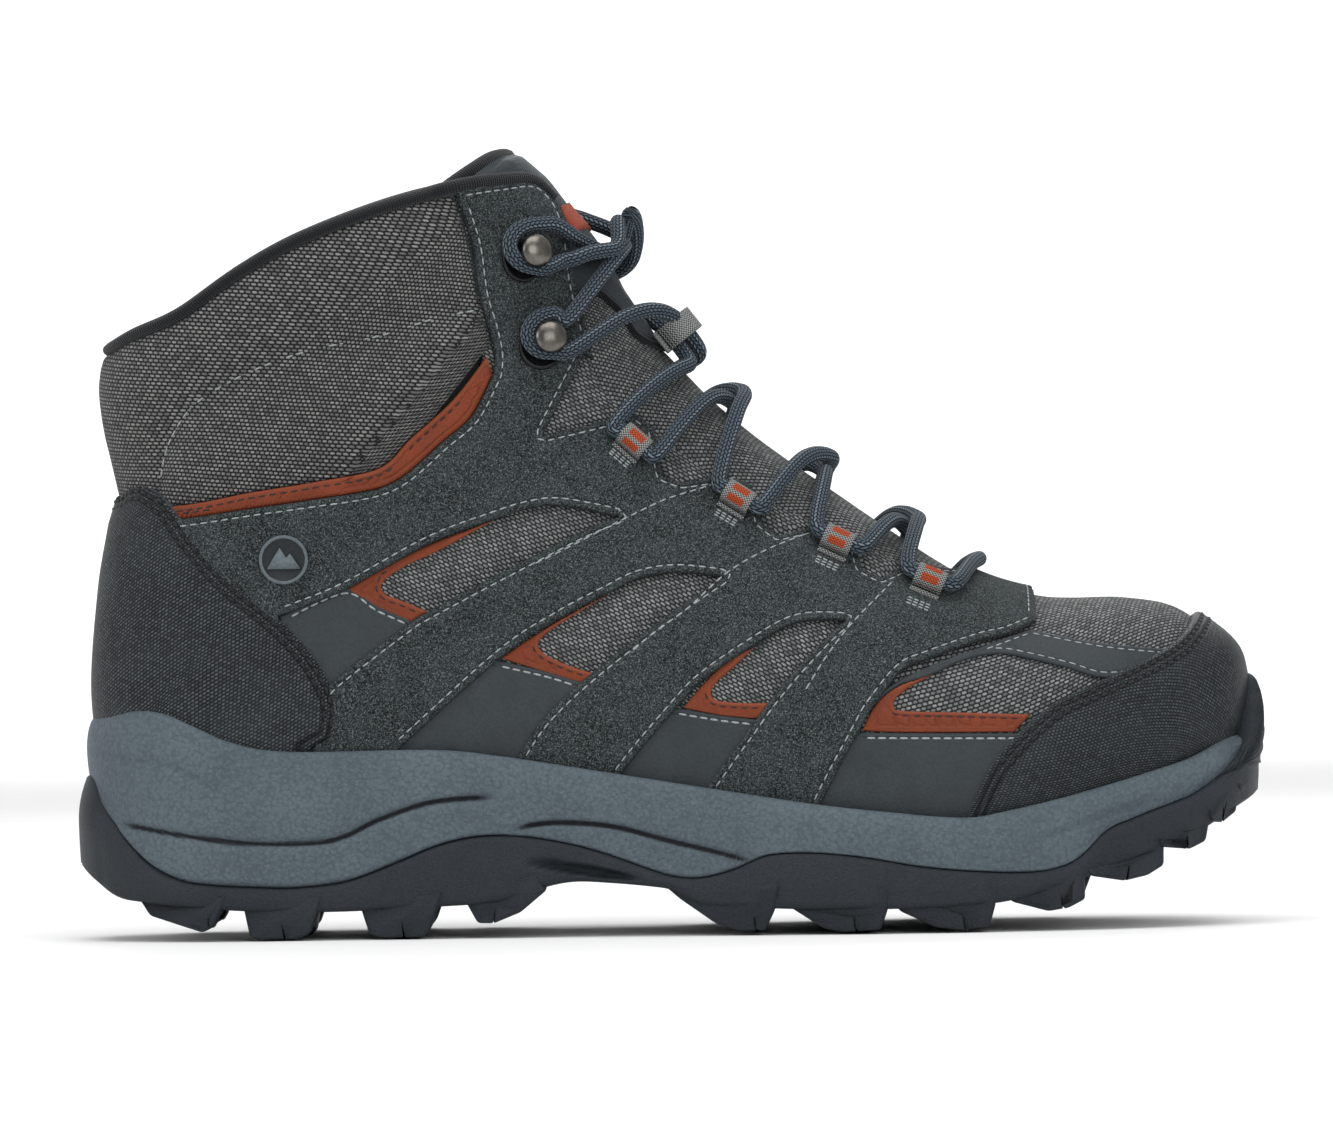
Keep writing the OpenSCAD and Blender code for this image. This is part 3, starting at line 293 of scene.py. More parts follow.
# The rim of each accent towards the mesh, and how far the mesh window reaches
ACCENT_RIMS = [spline([a[k] for k in (6, 7, 8, 9, 10, 11, 0)], 0.5) for a in ACCENT_EDGES]
MUDGUARD_TOP = spline([(0, 83), (17.1, 90.2), (26.5, 85.2), (34.8, 81.2), (45, 75),
                       (56.6, 70.9), (70.4, 67.4), (80, 64.2), (92, 60), (104, 57.6),
                       (115, 55.6), (125.2, 54.2), (138, 51.5), (151.3, 50.6),
                       (190, 49.8), (200, 50)])
VAMP_STRAP = closed([(149.2, 51.6), (156, 61.5), (169, 68), (182, 72.4), (195.4, 76.6),
                     (209, 73.8), (219, 72.4), (236, 71), (232, 66), (215.3, 64.2),
                     (205.4, 66.9), (195.2, 69.5), (187.4, 70.9), (178.8, 69.7),
                     (169.8, 66), (160.6, 63), (154.8, 58.4)], 1.0, (0, 4, 7, 8))
# Stitch lines that carry on from the windows over the suede
SUEDE_SEAMS = [spline(line, 0.8) for line in (
    [(66.6, 96.1), (73.5, 99.2), (84, 104.3), (93.6, 108.8), (101.2, 112.1), (110, 114.6),
     (121, 117.8)],
    [(92.2, 73), (99, 78.5), (106.5, 83.5), (116.9, 92.5), (126.9, 98), (137.7, 102)],
    [(137, 62), (142.4, 70.3), (148.3, 77.8), (155, 84.5), (161, 90.2)])]
VAMP_SEAM = spline([(120, 15), (135, 40), (150, 66), (168, 84), (186, 104)])
QUILT = spline([(52.1, 163.1), (42.1, 161.2), (27.1, 156.7), (10.3, 153.5), (-3.1, 149.3),
                (-15, 143.7), (-21.6, 139.1), (-25.9, 133.5), (-28.9, 126.7),
                (-30.3, 118.4)], 0.8)
TONGUE_PANEL = spline([(70, 160), (82.7, 167.8), (87.9, 165.4), (91.8, 161.4),
                       (96.1, 155.6), (112, 150)])
TONGUE_TOP = spline([(34, 183), (40, 190), (45, 194.3), (54, 201.4), (61, 206.4),
                     (68, 207.6)])
MIDSOLE_TOP = spline([(-70, 57.5), (-48, 58.6), (-39.6, 59.9), (-31.8, 59.2), (-24, 56.2),
                      (-13.6, 51.6), (2, 48.8), (38.7, 48.7), (57, 46.8), (83, 42.5), (135, 33.8),
                      (161, 30.6), (172, 29.5), (180, 29.3), (187, 30.4), (200.6, 33.2),
                      (213.8, 36.4), (226.9, 39.9), (240, 43.7), (252.7, 49.8), (275, 60)])
SOLE_SPLIT = spline([(-70, 45.6), (-52.1, 43), (-47.8, 35), (-41.4, 26.4), (-35, 19.8),
                     (-27.2, 15.8), (-19.4, 14.4), (-6.3, 13.6), (4, 13.4), (17.2, 15),
                     (30.4, 19.8), (41, 24), (51.4, 26.1), (62, 25.9), (72.3, 24.3), (82.7, 21.6),
                     (95.7, 16.9), (102, 15), (108.7, 14.6), (116.6, 16.4), (122, 18.7),
                     (127.2, 20.4), (137.7, 20.7), (150.7, 19.4), (166.4, 16.7), (182, 15.2),
                     (195.1, 14.9), (203, 16.2), (208, 19), (213, 24), (216, 26), (220, 27.5),
                     (226, 29.7), (236, 33.1), (240, 35.2), (245, 38.3), (249.2, 41), (253.6, 48),
                     (270, 61)])
TREAD_BASE = spline([(-70, 22), (-55, 20), (-49, 15.5), (-43, 11), (-35.2, 9.6), (-11.6, 7.4),
                     (11.9, 6.8), (35.4, 7.6), (52, 8.4), (60, 9.6), (68, 12.4), (76, 13.8),
                     (86, 13.3), (96, 12.3), (101, 11.4), (105, 9.4), (111, 7.4), (130, 6.2),
                     (153.2, 5.8), (174, 6.2), (190, 7.6), (208.2, 12.6), (226.6, 19.3),
                     (239.8, 24.8), (247.7, 29.7), (275, 45)])

THROAT = area(EYESTAY, [(182, FAR), (72.4, FAR)])
BELOW_COLLAR = area(COLLAR_TOP, [(FAR, 100), (FAR, -50), (-FAR, -50), (-FAR, 150)])
COLLAR_SIDE = area(SUEDE_COLLAR, ACCENT_OUTER, [(-80, 107), (-80, FAR), (46, FAR)])
COLLAR_MESH = area(ACCENT_INNER[::-1], [(-80, 111.5), (-80, FAR), (46, FAR)], SUEDE_COLLAR)
HEEL_EMPTY = area([(-80, 0), (-80, 200), (-34, 107), (-24, 98), (-6, 82), (2, 72), (6, 60),
                   (4, 0)])
MUDGUARD = area(MUDGUARD_TOP, [(200, 0), (0, 0)])
TOE_CAP_AREA = area(TOE_CAP, [(280, 22), (280, 90)])
HEEL_COVER_AREA = area(HEEL_COVER, [(-60, 44)])
VAMP_AREA = area(VAMP_SEAM, [(300, 104), (300, 0), (120, 0)])
ACCENT_BAND = area(ACCENT_OUTER, ACCENT_INNER)


# ------------------------------------------------------------------------ mesh helpers
def grid_faces(rows, cols, loop=False, hoop=False, flip=False):
    """Quads between rows of cols points. With loop each row closes on itself, and with
    hoop the last row joins the first."""
    faces = []
    for i in range(rows if hoop else rows - 1):
        for j in range(cols if loop else cols - 1):
            row, col = ((i + 1) % rows)*cols, (j + 1) % cols
            a, b, c, d = i*cols + j, i*cols + col, row + col, row + j
            faces.append((a, d, c, b) if flip else (a, b, c, d))
    return faces


def end_faces(rows, cols, count, flip=False):
    """The faces that close the first and the last row over its first count points."""
    first = list(range(count))
    last = [(rows - 1)*cols + j for j in first]
    return [first, last[::-1]] if flip else [first[::-1], last]


def two_skins(rows, cols, flip=False):
    """A closed sheet: an upper and a lower grid of points, joined round the rim."""
    n = rows*cols
    upper = grid_faces(rows, cols, flip=flip)
    lower = [tuple(k + n for k in face[::-1]) for face in upper]
    rim = [i*cols for i in range(rows)] + [(rows - 1)*cols + j for j in range(1, cols)]
    rim += [i*cols + cols - 1 for i in range(rows - 2, -1, -1)] + list(range(cols - 2, 0, -1))
    return upper + lower + [(b, a, a + n, b + n) for a, b in zip(rim, rim[1:] + rim[:1])]


def merged(pieces):
    """One mesh of many; a piece is its vertices, its faces and any values per vertex."""
    faces, count = [], 0
    for verts, own, *_ in pieces:
        faces += [[k + count for k in face] for face in own]
        count += len(verts)
    verts, *values = [np.concatenate(part) for k, part in enumerate(zip(*pieces)) if k != 1]
    return [verts, faces] + values


PLAIN = {"groove": 0, "edge": 0}


def make_object(name, verts, faces, uv=None, attrs=None, weld=0.0, outward=False):
    """A smooth-shaded mesh object; verts in mm, uv and attrs one value per vertex."""
    mesh = bpy.data.meshes.new(name)
    mesh.from_pydata((np.asarray(verts)*MM).tolist(), [], [list(map(int, f)) for f in faces])
    mesh.validate()
    if uv is not None:
        layer = mesh.uv_layers.new(name="UVMap")
        index = np.zeros(len(mesh.loops), int)
        mesh.loops.foreach_get("vertex_index", index)
        layer.data.foreach_set("uv", np.asarray(uv, float)[index].ravel())
    for key, values in (attrs or {}).items():
        layer = mesh.attributes.new(key, "FLOAT", "POINT")
        layer.data.foreach_set("value", np.ones(len(mesh.vertices))*values)
    mesh.polygons.foreach_set("use_smooth", [True]*len(mesh.polygons))
    obj = bpy.data.objects.new(name, mesh)
    bpy.context.scene.collection.objects.link(obj)
    if weld or outward:
        bm = bmesh.new()
        bm.from_mesh(mesh)
        if weld:
            bmesh.ops.remove_doubles(bm, verts=bm.verts, dist=weld*MM)
        if outward:
            bmesh.ops.recalc_face_normals(bm, faces=bm.faces)
        bm.to_mesh(mesh)
        bm.free()
    mesh.update()
    return obj


def place(obj, body, slot, material, *nodes):
    obj.data.materials.append(material)
    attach(obj, body)
    if nodes:
        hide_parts(*nodes)


def tree_of(points):
    tree = kdtree.KDTree(len(points))
    for i, p in enumerate(points):
        tree.insert(p, i)
    tree.balance()
    return tree


def nearest(tree_points, points):
    """Distance from each point to the closest of the tree's points."""
    tree = tree_of(tree_points)
    return A([tree.find(p)[2] for p in points])


def trace(outline, wrap, u_lo, u_hi):
    """The stretches of a side-view outline that lie on the boot, as lists of (u, v)."""
    def known(p):
        u, h = locate(p)
        return u, h, (h >= 0) & (h <= 1) & (u > max(u_lo, 0.002)) & (u < min(u_hi, 17.998))
    u, h, ok = known(outline)
    runs, run = [], []

    def edge(a, b):
        for _ in range(14):
            m = (a + b)/2
            if known([m])[2][0]:
                a = m
            else:
                b = m
        eu, eh, _ = known([a])
        ev = 1.0 if eh[0] > 0.998 else 0.0 if eh[0] < 0.002 else float(to_v(eh[0]))
        return float(eu[0]), ev
    for i in range(len(outline)):
        if ok[i]:
            if not run and i > 0:
                run.append(edge(outline[i], outline[i - 1]))
            run.append((u[i], float(to_v(h[i]))))
        if run and (not ok[i] or i == len(outline) - 1):
            if not ok[i]:
                run.append(edge(outline[i - 1], outline[i]))
            if len(run) > 1:
                runs.append(A(run))
            run = []
    both = []
    for r in runs:
        both += [r, np.stack([r[:, 0], -r[:, 1] if wrap else 2 - r[:, 1]], -1)]
    return both


def triangles_of(points, edges):
    out = delaunay_2d_cdt([Vector(p) for p in points], edges, [], 0, 1e-4)
    return A([tuple(v) for v in out[0]]), A([t for t in out[2] if len(t) == 3], int)


def chains(edges):
    follow = {}
    for a, b in edges:
        follow.setdefault(a, []).append(b)
        follow.setdefault(b, []).append(a)
    seen, out = set(), []
    starts = sorted(follow, key=lambda k: (len(follow[k]) == 2, k))
    for start in starts:
        while True:
            fresh = [n for n in follow[start] if (min(start, n), max(start, n)) not in seen]
            if not fresh:
                break
            chain, here, nxt = [start], start, fresh[0]
            while nxt is not None:
                seen.add((min(here, nxt), max(here, nxt)))
                chain.append(nxt)
                here = nxt
                options = [n for n in follow[here]
                           if (min(here, n), max(here, n)) not in seen]
                nxt = options[0] if options and len(follow[here]) == 2 else None
            out.append(chain)
    return out


def step_in(uv, closed_loop, d, keep):
    """Moves the points of a boundary line inwards over the surface by d mm."""
    u, v = uv[:, 0], uv[:, 1]
    if closed_loop:
        a, b = np.roll(uv, 1, axis=0), np.roll(uv, -1, axis=0)
    else:
        a = np.concatenate([uv[:1], uv[:-1]])
        b = np.concatenate([uv[1:], uv[-1:]])
    along_line = unit(point(b[:, 0], b[:, 1]) - point(a[:, 0], a[:, 1]))
    across = np.cross(normal(u, v), along_line)
    e = 0.01
    s = np.maximum(u, e)
    pu = (point(s + e, v) - point(s - e, v))/(2*e)
    pv = (point(s, v + e) - point(s, v - e))/(2*e)
    uu, uv_, vv = (pu*pu).sum(1), (pu*pv).sum(1), (pv*pv).sum(1)
    bu, bv = (across*pu).sum(1), (across*pv).sum(1)
    det = np.maximum(uu*vv - uv_*uv_, 1e-6)
    duv = np.stack([(vv*bu - uv_*bv)/det, (uu*bv - uv_*bu)/det], -1)
    probe = uv + 0.25*duv
    side = np.where(keep(probe), 1.0, -1.0)
    return uv + d*side[:, None]*duv

def sides_of(tris):
    """The directed sides of all triangles."""
    return [(a, b) for t in tris for a, b in ((t[0], t[1]), (t[1], t[2]), (t[2], t[0]))]


# Edges nearer to the tip than this lie on the middle plane and are welded there
TIP_U = 0.004


class Panel:
    """A sheet on the last, cut out by outlines, with rounded edges and a closed back."""

    def __init__(self, keep_side, outlines, u_range, wrap=False, spacing=2.4, v_reach=None):
        self.keep_side, self.wrap, self.u_range = keep_side, wrap, u_range
        self.v_range = (-v_reach, v_reach) if wrap else (0.0, 2.0)
        lines = [to_map(r, wrap) for o in outlines for r in trace(o, wrap, *u_range)]
        verts, rim = self.cut_out(lines + self.border())
        uv = from_map(verts, wrap)
        real = [e for e in rim if max(uv[list(e), 0]) >= TIP_U]
        self.lines = []
        for chain in chains(real):
            loop = chain[0] == chain[-1]
            self.lines.append((uv[chain[:-1] if loop else chain], loop))
        self.rim_points = []
        for e in real:
            a, b = point(*uv[list(e)].T)
            m = max(1, int(np.linalg.norm(b - a)/0.4))
            self.rim_points += [a + (b - a)*k/m for k in range(m + 1)]
        used = sorted({i for e in rim for i in e})
        number = {i: n for n, i in enumerate(used)}
        edges = [(number[a], number[b]) for a, b in rim]
        self.fill(verts[used], edges, self.inner_points(verts, spacing))

    def keep(self, uv):
        """Whether the points lie on the part that is kept."""
        u, v = uv[:, 0], uv[:, 1]
        p = point(u, v)
        (u_lo, u_hi), (v_lo, v_hi) = self.u_range, self.v_range
        ok = (v > v_lo) & (v < v_hi) & (u > u_lo) & (u < u_hi)
        if self.wrap:
            ok &= (u > HEEL) | (np.abs(v) > 0.02)
        return ok & self.keep_side(p[:, 0], p[:, 2])

    def border(self):
        """The limits of u and v as lines on the flat map."""
        (u_lo, u_hi), (v_lo, v_hi) = self.u_range, self.v_range
        us = np.linspace(u_lo, u_hi, int((u_hi - u_lo)*10) + 2)
        vs = np.linspace(v_lo, v_hi, 81)
        lines = [(us, v) for v in (v_lo, v_hi)] + [(u, vs) for u in (u_lo, u_hi)]
        if self.wrap and u_lo < HEEL:
            low = np.linspace(u_lo, HEEL, int((HEEL - u_lo)*10) + 2)
            lines += [(low, side*0.02) for side in (-1, 1)]
        return [to_map(np.stack(np.broadcast_arrays(u, v), -1), self.wrap) for u, v in lines]

    def cut_out(self, lines):
        """Points of the flat map and the boundary edges of the part that is kept."""
        points, edges = [], []
        for line in lines:
            base = len(points)
            points += line.tolist()
            edges += [(base + i, base + i + 1) for i in range(len(line) - 1)]
        verts, tris = triangles_of(points, edges)
        tris = tris[self.keep(from_map(verts[tris].mean(axis=1), self.wrap))]
        count = Counter((min(side), max(side)) for side in sides_of(tris))
        return verts, sorted(side for side, n in count.items() if n == 1)

    def far_from_edge(self, uv, d):
        """The kept ones of the points that lie more than d mm from the edge."""
        uv = uv[self.keep(uv)]
        return uv[nearest(self.rim_points, point(uv[:, 0], uv[:, 1])) > d]

    def inner_points(self, verts, spacing):
        """Rows of points close to the edge and an even grid over the rest."""
        found = [self.far_from_edge(step_in(line, loop, d, self.keep), 0.88*d)
                 for d in (0.22, 0.55, 1.1) for line, loop in self.lines]
        lo, hi = verts.min(0), verts.max(0)
        grid = []
        for i, y in enumerate(np.arange(lo[1], hi[1], spacing*0.87)):
            xs = np.arange(lo[0] + (i % 2)*spacing/2, hi[0], spacing)
            grid.append(np.stack([xs, np.full(len(xs), y)], -1))
        grid = from_map(np.concatenate(grid), self.wrap)
        found.append(self.far_from_edge(grid, 1.1 + 0.45*spacing))
        return to_map(np.concatenate(found), self.wrap)

    def fill(self, rim_xy, edges, inner):
        """The final triangles between the boundary edges, turned outwards."""
        self.xy, tris = triangles_of(rim_xy.tolist() + inner.tolist(), edges)
        centre = self.xy[tris].mean(axis=1)
        tris = tris[crossed([rim_xy[list(e)] for e in edges], centre[:, 0], centre[:, 1])]
        self.uv = from_map(self.xy, self.wrap)
        self.place = point(self.uv[:, 0], self.uv[:, 1])
        self.normal = normal(self.uv[:, 0], self.uv[:, 1])
        t = self.place[tris]
        facing = (np.cross(t[:, 1] - t[:, 0], t[:, 2] - t[:, 0])*self.normal[tris[:, 0]]).sum()
        self.tris = tris[:, ::-1] if facing < 0 else tris
        self.dist = nearest(self.rim_points, self.place)
        sides = dict.fromkeys(sides_of(self.tris))
        self.rim = [(a, b) for a, b in sides if (b, a) not in sides
                    and max(self.uv[[a, b], 0]) >= TIP_U]

    def level_uv(self):
        """Distance round the boot from the back seam, and height."""
        steps = [point(self.uv[:, 0], self.uv[:, 1]*k/24)[:, :2] for k in range(25)]
        reach = sum(np.linalg.norm(b - a, axis=1) for a, b in zip(steps, steps[1:]))
        return np.stack([np.sign(self.uv[:, 1])*reach, self.place[:, 2]], -1)

    def sheet(self, name, top, low, edge, flat=None):
        """A closed sheet between two heights over the last."""
        if flat is None:
            flat = self.level_uv() if self.wrap else self.xy
        n = len(self.uv)
        verts = np.concatenate([self.place + np.broadcast_to(o, n)[:, None]*self.normal
                                for o in (top, low)])
        faces = self.tris.tolist() + (self.tris[:, ::-1] + n).tolist()
        faces += [(b, a, a + n, b + n) for a, b in self.rim]
        return make_object(name, verts, faces, np.concatenate([flat, flat]),
                           {"edge": np.concatenate(edge)}, weld=0.01)

    def mesh(self, name, o_in, o_out, edge_r=0.7, relief=None, flat=None):
        """A sheet with a rounded outer edge, and with relief added to its top."""
        share = np.clip(self.dist/edge_r, 0, 1)
        round_off = 0.3 + 0.7*np.sqrt(1 - (1 - share)**2)
        top = o_in + (o_out - o_in)*round_off
        if relief is not None:
            top = top + relief(self)
        return self.sheet(name, top, o_in, [self.dist, 0*self.dist], flat)

    def inset(self, d, wanted=None):
        """Lines over the panel at a distance from its edge, as arrays of (u, v)."""
        out = []
        for line, loop in self.lines:
            q = step_in(line, loop, d, self.keep)
            p = point(q[:, 0], q[:, 1])
            ok = self.keep(q) & (nearest(self.rim_points, p) > 0.93*d)
            if wanted is not None:
                ok &= wanted(p[:, 0], p[:, 2])
            if loop and not ok.all():
                shift = int(np.argmin(ok))
                q, ok = np.roll(q, -shift, axis=0), np.roll(ok, -shift)
            elif loop:
                q, ok = np.concatenate([q, q[:1]]), np.concatenate([ok, [True]])
            breaks = np.nonzero(~ok)[0]
            out += [run[ok_] for run, ok_ in zip(np.split(q, breaks), np.split(ok, breaks))]
        return [r for r in out if len(r) > 2]


def resample(points, step):
    s = run_length(points)
    t = np.linspace(0, s[-1], max(2, int(round(s[-1]/step)) + 1))
    return np.stack([np.interp(t, s, column) for column in points.T], -1)


def stitches(name, lines, o, slot, material, dash=1.9, gap=0.9, r=0.26):
    """Rows of raised thread dashes on the shell along lines of (u, v), at height o."""
    sides, sink = 6, 0.08
    along_dash, fat = A([(-0.5, 0.25), (-0.42, 0.8), (0, 1.0), (0.42, 0.8), (0.5, 0.25)]).T
    faces = grid_faces(len(fat), sides, loop=True) + end_faces(len(fat), sides, sides)
    turn = 2*np.pi*np.arange(sides)[:, None]/sides
    pieces = []
    for line in lines:
        s = run_length(point(line[:, 0], line[:, 1]))
        for k in range(int(s[-1]/(dash + gap))):
            t = (k + 0.5)*(dash + gap) + along_dash*dash
            u, v = np.interp(t, s, line[:, 0]), np.interp(t, s, line[:, 1])
            nrm = normal(u, v)
            here = point(u, v) + (o - sink)*nrm
            across = unit(np.cross(nrm, unit(here[-1] - here[0])))
            spoke = np.cos(turn)*across[:, None] + 0.8*np.sin(turn)*nrm[:, None]
            pieces.append(((here[:, None] + r*fat[:, None, None]*spoke).reshape(-1, 3), faces))
    place(make_object(name, *merged(pieces)), SHELL, slot, material)


def tube(path, normals, radius, sides, start=0.0):
    """A capped round tube along a path with the given up directions."""
    n, w = len(path), sides + 1
    tangent = unit(np.gradient(path, axis=0))
    across = unit(np.cross(normals, tangent))
    up = np.cross(tangent, across)
    turn = 2*np.pi*np.arange(w)[:, None]/sides
    verts = path[:, None] + radius*(np.cos(turn)*across[:, None] + np.sin(turn)*up[:, None])
    s = run_length(path) + start
    uv = np.stack(np.broadcast_arrays(s[:, None], np.arange(w)/sides), -1)
    faces = grid_faces(n, w, flip=True) + end_faces(n, w, sides)
    return verts.reshape(-1, 3), faces, uv.reshape(-1, 2)


def tube_object(name, paths, ups, radius, sides):
    pieces = [tube(path, up, radius, sides) for path, up in zip(paths, ups)]
    return make_object(name, *merged(pieces), weld=0.002)


# --------------------------------------------------------------------------- materials
def srgb(r, g, b):
    return tuple((c/255/12.92 if c/255 <= 0.04045 else ((c/255 + 0.055)/1.055)**2.4)
                 for c in (r, g, b)) + (1.0,)


class Shader:
    """A small builder of node materials; sockets and plain values can be mixed."""

    def __init__(self, name):
        self.mat = bpy.data.materials.new(name)
        self.mat.use_nodes = True
        self.tree = self.mat.node_tree
        self.tree.nodes.clear()

    def node(self, kind, inputs=None, **props):
        """A node with its properties, and with its inputs set or linked by name or place."""
        n = self.tree.nodes.new("ShaderNode" + kind)
        for key, value in props.items():
            setattr(n, key, value)
        for key, value in (inputs or {}).items():
            if isinstance(value, bpy.types.NodeSocket):
                self.tree.links.new(value, n.inputs[key])
            else:
                n.inputs[key].default_value = value
        return n

    def math(self, op, a, b=0.0):
        return self.node("Math", {0: a, 1: b}, operation=op).outputs[0]

    def add(self, a, b):
        return self.math("ADD", a, b)

    def sub(self, a, b):
        return self.math("SUBTRACT", a, b)

    def mul(self, a, b):
        return self.math("MULTIPLY", a, b)

    def wave(self, x, period):
        return self.math("SINE", self.mul(x, 2*math.pi/period))

    def mix(self, f, a, b):
        return self.node("Mix", {0: f, 6: a, 7: b}, data_type="RGBA").outputs[2]

    def step(self, x, lo, hi, a=0.0, b=1.0):
        """A smooth step from a to b as x goes from lo to hi."""
        return self.node("MapRange", dict(enumerate((x, lo, hi, a, b))),
                         interpolation_type="SMOOTHSTEP").outputs[0]

    def place(self):
        """Object coordinates in mm."""
        coords = self.node("TexCoord").outputs["Object"]
        return self.node("VectorMath", {0: coords, 1: (1000, 1000, 1000)},
                         operation="MULTIPLY").outputs[0]

    def uv(self):
        return self.node("UVMap", uv_map="UVMap").outputs[0]

    def attribute(self, name):
        return self.node("Attribute", attribute_name=name).outputs["Fac"]

    def noise(self, coords, size, detail=3.0, rough=0.55):
        """Noise with features of about the given size in mm."""
        return self.node("TexNoise", {"Vector": coords, "Scale": 1.0/size, "Detail": detail,
                                      "Roughness": rough}).outputs[0]

    def cells(self, coords, size):
        return self.node("TexVoronoi", {"Vector": coords, "Scale": 1.0/size}).outputs[0]

    def xyz(self, coords):
        return self.node("SeparateXYZ", {0: coords}).outputs

    def bump(self, height, distance):
        """Height in units of distance mm."""
        return self.node("Bump", {"Height": height, "Distance": distance*MM,
                                  "Strength": 1.0}).outputs[0]

    def surface(self, color, rough, bump=None, sheen=0.0, metal=0.0, spec=0.5):
        """The finished material."""
        inputs = {"Base Color": color, "Roughness": rough, "Metallic": metal,
                  "Specular IOR Level": spec, "Sheen Weight": sheen, "Sheen Roughness": 0.5}
        if bump is not None:
            inputs["Normal"] = bump
        shader = self.node("BsdfPrincipled", inputs)
        self.node("OutputMaterial", {0: shader.outputs[0]})
        return self.mat

    def weave(self, coords, cell, angle, fill, wobble=0.12):
        """Knots of yarn in offset rows: the height of the knot and a shade per knot."""
        turn = self.node("VectorRotate", {"Vector": coords, "Angle": math.radians(angle)},
                         rotation_type="Z_AXIS")
        x, y, _ = self.xyz(turn.outputs[0])
        jitter = self.mul(self.sub(self.noise(coords, 4*cell[0], 2), 0.5), wobble)
        row = self.add(self.math("DIVIDE", y, cell[1]), jitter)
        line = self.math("FLOOR", row)
        odd = self.mul(self.math("FLOORED_MODULO", line, 2.0), 0.5)
        col = self.add(self.add(self.math("DIVIDE", x, cell[0]), jitter), odd)
        parts = []
        for t, width in zip((col, row), fill):
            middle = self.sub(self.math("FRACT", t), 0.5)
            far = self.math("ABSOLUTE", self.math("DIVIDE", middle, width))
            parts.append(self.math("POWER", far, 2.6))
        knot = self.node("CombineXYZ", {0: self.math("FLOOR", col), 1: line})
        shade = self.node("TexWhiteNoise", {"Vector": knot.outputs[0]}, noise_dimensions="2D")
        return self.step(self.add(*parts), 1.35, 0.1), shade.outputs[0]


def edge_groove(s, depth_at, width=0.4):
    """A pressed line at a distance from the edge of a panel."""
    d = s.math("ABSOLUTE", s.sub(s.attribute("edge"), depth_at))
    return s.step(d, width, 0.0)


def suede_material():
    s = Shader("suede")
    p = s.place()
    nap = s.noise(p, 0.6, 4, 0.7)
    fleck = s.noise(p, 0.36, 2)
    cloud = s.noise(p, 10, 3)
    color = s.mix(s.step(cloud, 0.3, 0.7), srgb(27, 31, 32), srgb(44, 50, 51))
    color = s.mix(s.step(nap, 0.42, 0.66), color, srgb(70, 77, 78))
    color = s.mix(s.step(fleck, 0.53, 0.72, 0, 0.75), color, srgb(122, 128, 128))
    color = s.mix(s.step(fleck, 0.46, 0.32, 0, 0.8), color, srgb(12, 15, 16))
    rim = s.mul(s.step(s.attribute("edge"), 0.5, 0.0), 0.55)
    color = s.mix(rim, color, srgb(20, 24, 26))
    height = s.sub(s.add(nap, fleck), s.mul(edge_groove(s, 1.9, 0.75), 1.6))
    return s.surface(color, 0.96, s.bump(height, 0.34), sheen=0.05, spec=0.05)


def leather_material(name, dark, light, rough=0.5, groove=1.3, wear=None):
    s = Shader(name)
    p = s.place()
    pebble = s.cells(p, 0.75)
    fine = s.noise(p, 0.25, 3)
    cloud = s.noise(p, 8, 4)
    color = s.mix(cloud, dark, light)
    color = s.mix(s.step(pebble, 0.45, 0.75, 0, 0.35), color, dark)
    if wear:
        color = s.mix(s.step(s.attribute("edge"), 0.9, 0.1, 0, 0.5), color, wear)
    height = s.add(s.mul(pebble, -0.6), s.mul(fine, 0.5))
    height = s.sub(height, s.mul(edge_groove(s, groove, 0.6), 1.6))
    ruff = s.step(cloud, 0.3, 0.7, rough - 0.06, rough + 0.08)
    return s.surface(color, ruff, s.bump(height, 0.16), spec=0.2)


def mesh_material(name, cell, angle, ground, dark, light, fill=(0.42, 0.36), fuzz=0.4,
                  depth=0.45):
    s = Shader(name)
    uv = s.uv()
    height, shade = s.weave(uv, cell, angle, fill)
    strand = s.noise(uv, 0.3, 2)
    yarn = s.mix(shade, dark, light)
    yarn = s.mix(s.mul(s.step(strand, 0.4, 0.7), fuzz), yarn, ground)
    color = s.mix(s.step(height, 0.12, 0.62), ground, yarn)
    total = s.add(height, s.mul(strand, 0.3))
    return s.surface(color, 0.88, s.bump(total, depth), sheen=0.1, spec=0.2)


def knit_material(name, dark, light, pitch=0.7):
    s = Shader(name)
    x, y, _ = s.xyz(s.uv())
    both = s.add(s.mul(s.wave(x, pitch), 0.6), s.mul(s.wave(y, pitch*0.7), 0.4))
    color = s.mix(s.step(both, -0.5, 0.9), dark, light)
    height = s.add(both, s.noise(s.place(), 0.3, 3))
    return s.surface(color, 0.92, s.bump(height, 0.12), sheen=0.15, spec=0.2)


def twill_material(name, dark, light, pitch=0.55, rough=0.62, angle=24):
    s = Shader(name)
    uv = s.uv()
    height, shade = s.weave(uv, (pitch*1.5, pitch), angle, (0.46, 0.4), 0.05)
    # The knot crowns are lighter than the gaps: partly the weave's pattern, partly painted
    # highlight on each knot
    tone = s.add(0.3, s.mul(shade, 0.6))
    color = s.mix(s.mul(s.step(height, 0.3, 0.9), tone), dark, light)
    cloud = s.noise(s.place(), 14, 3)
    color = s.mix(s.step(cloud, 0.35, 0.75, 0, 0.15), color, light)
    # Painted shade: the two stitch grooves near the edge are darkened to near black, besides being
    # pressed in by the bump
    rows = s.math("MAXIMUM", edge_groove(s, 1.8, 0.9), edge_groove(s, 3.8, 0.9))
    color = s.mix(s.mul(rows, 0.85), color, srgb(5, 6, 7))
    color = s.mix(s.step(s.attribute("edge"), 0.5, 0.15, 0, 0.6), color, light)
    total = s.sub(height, s.mul(rows, 2.2))
    return s.surface(color, rough, s.bump(total, 0.25), spec=0.2)


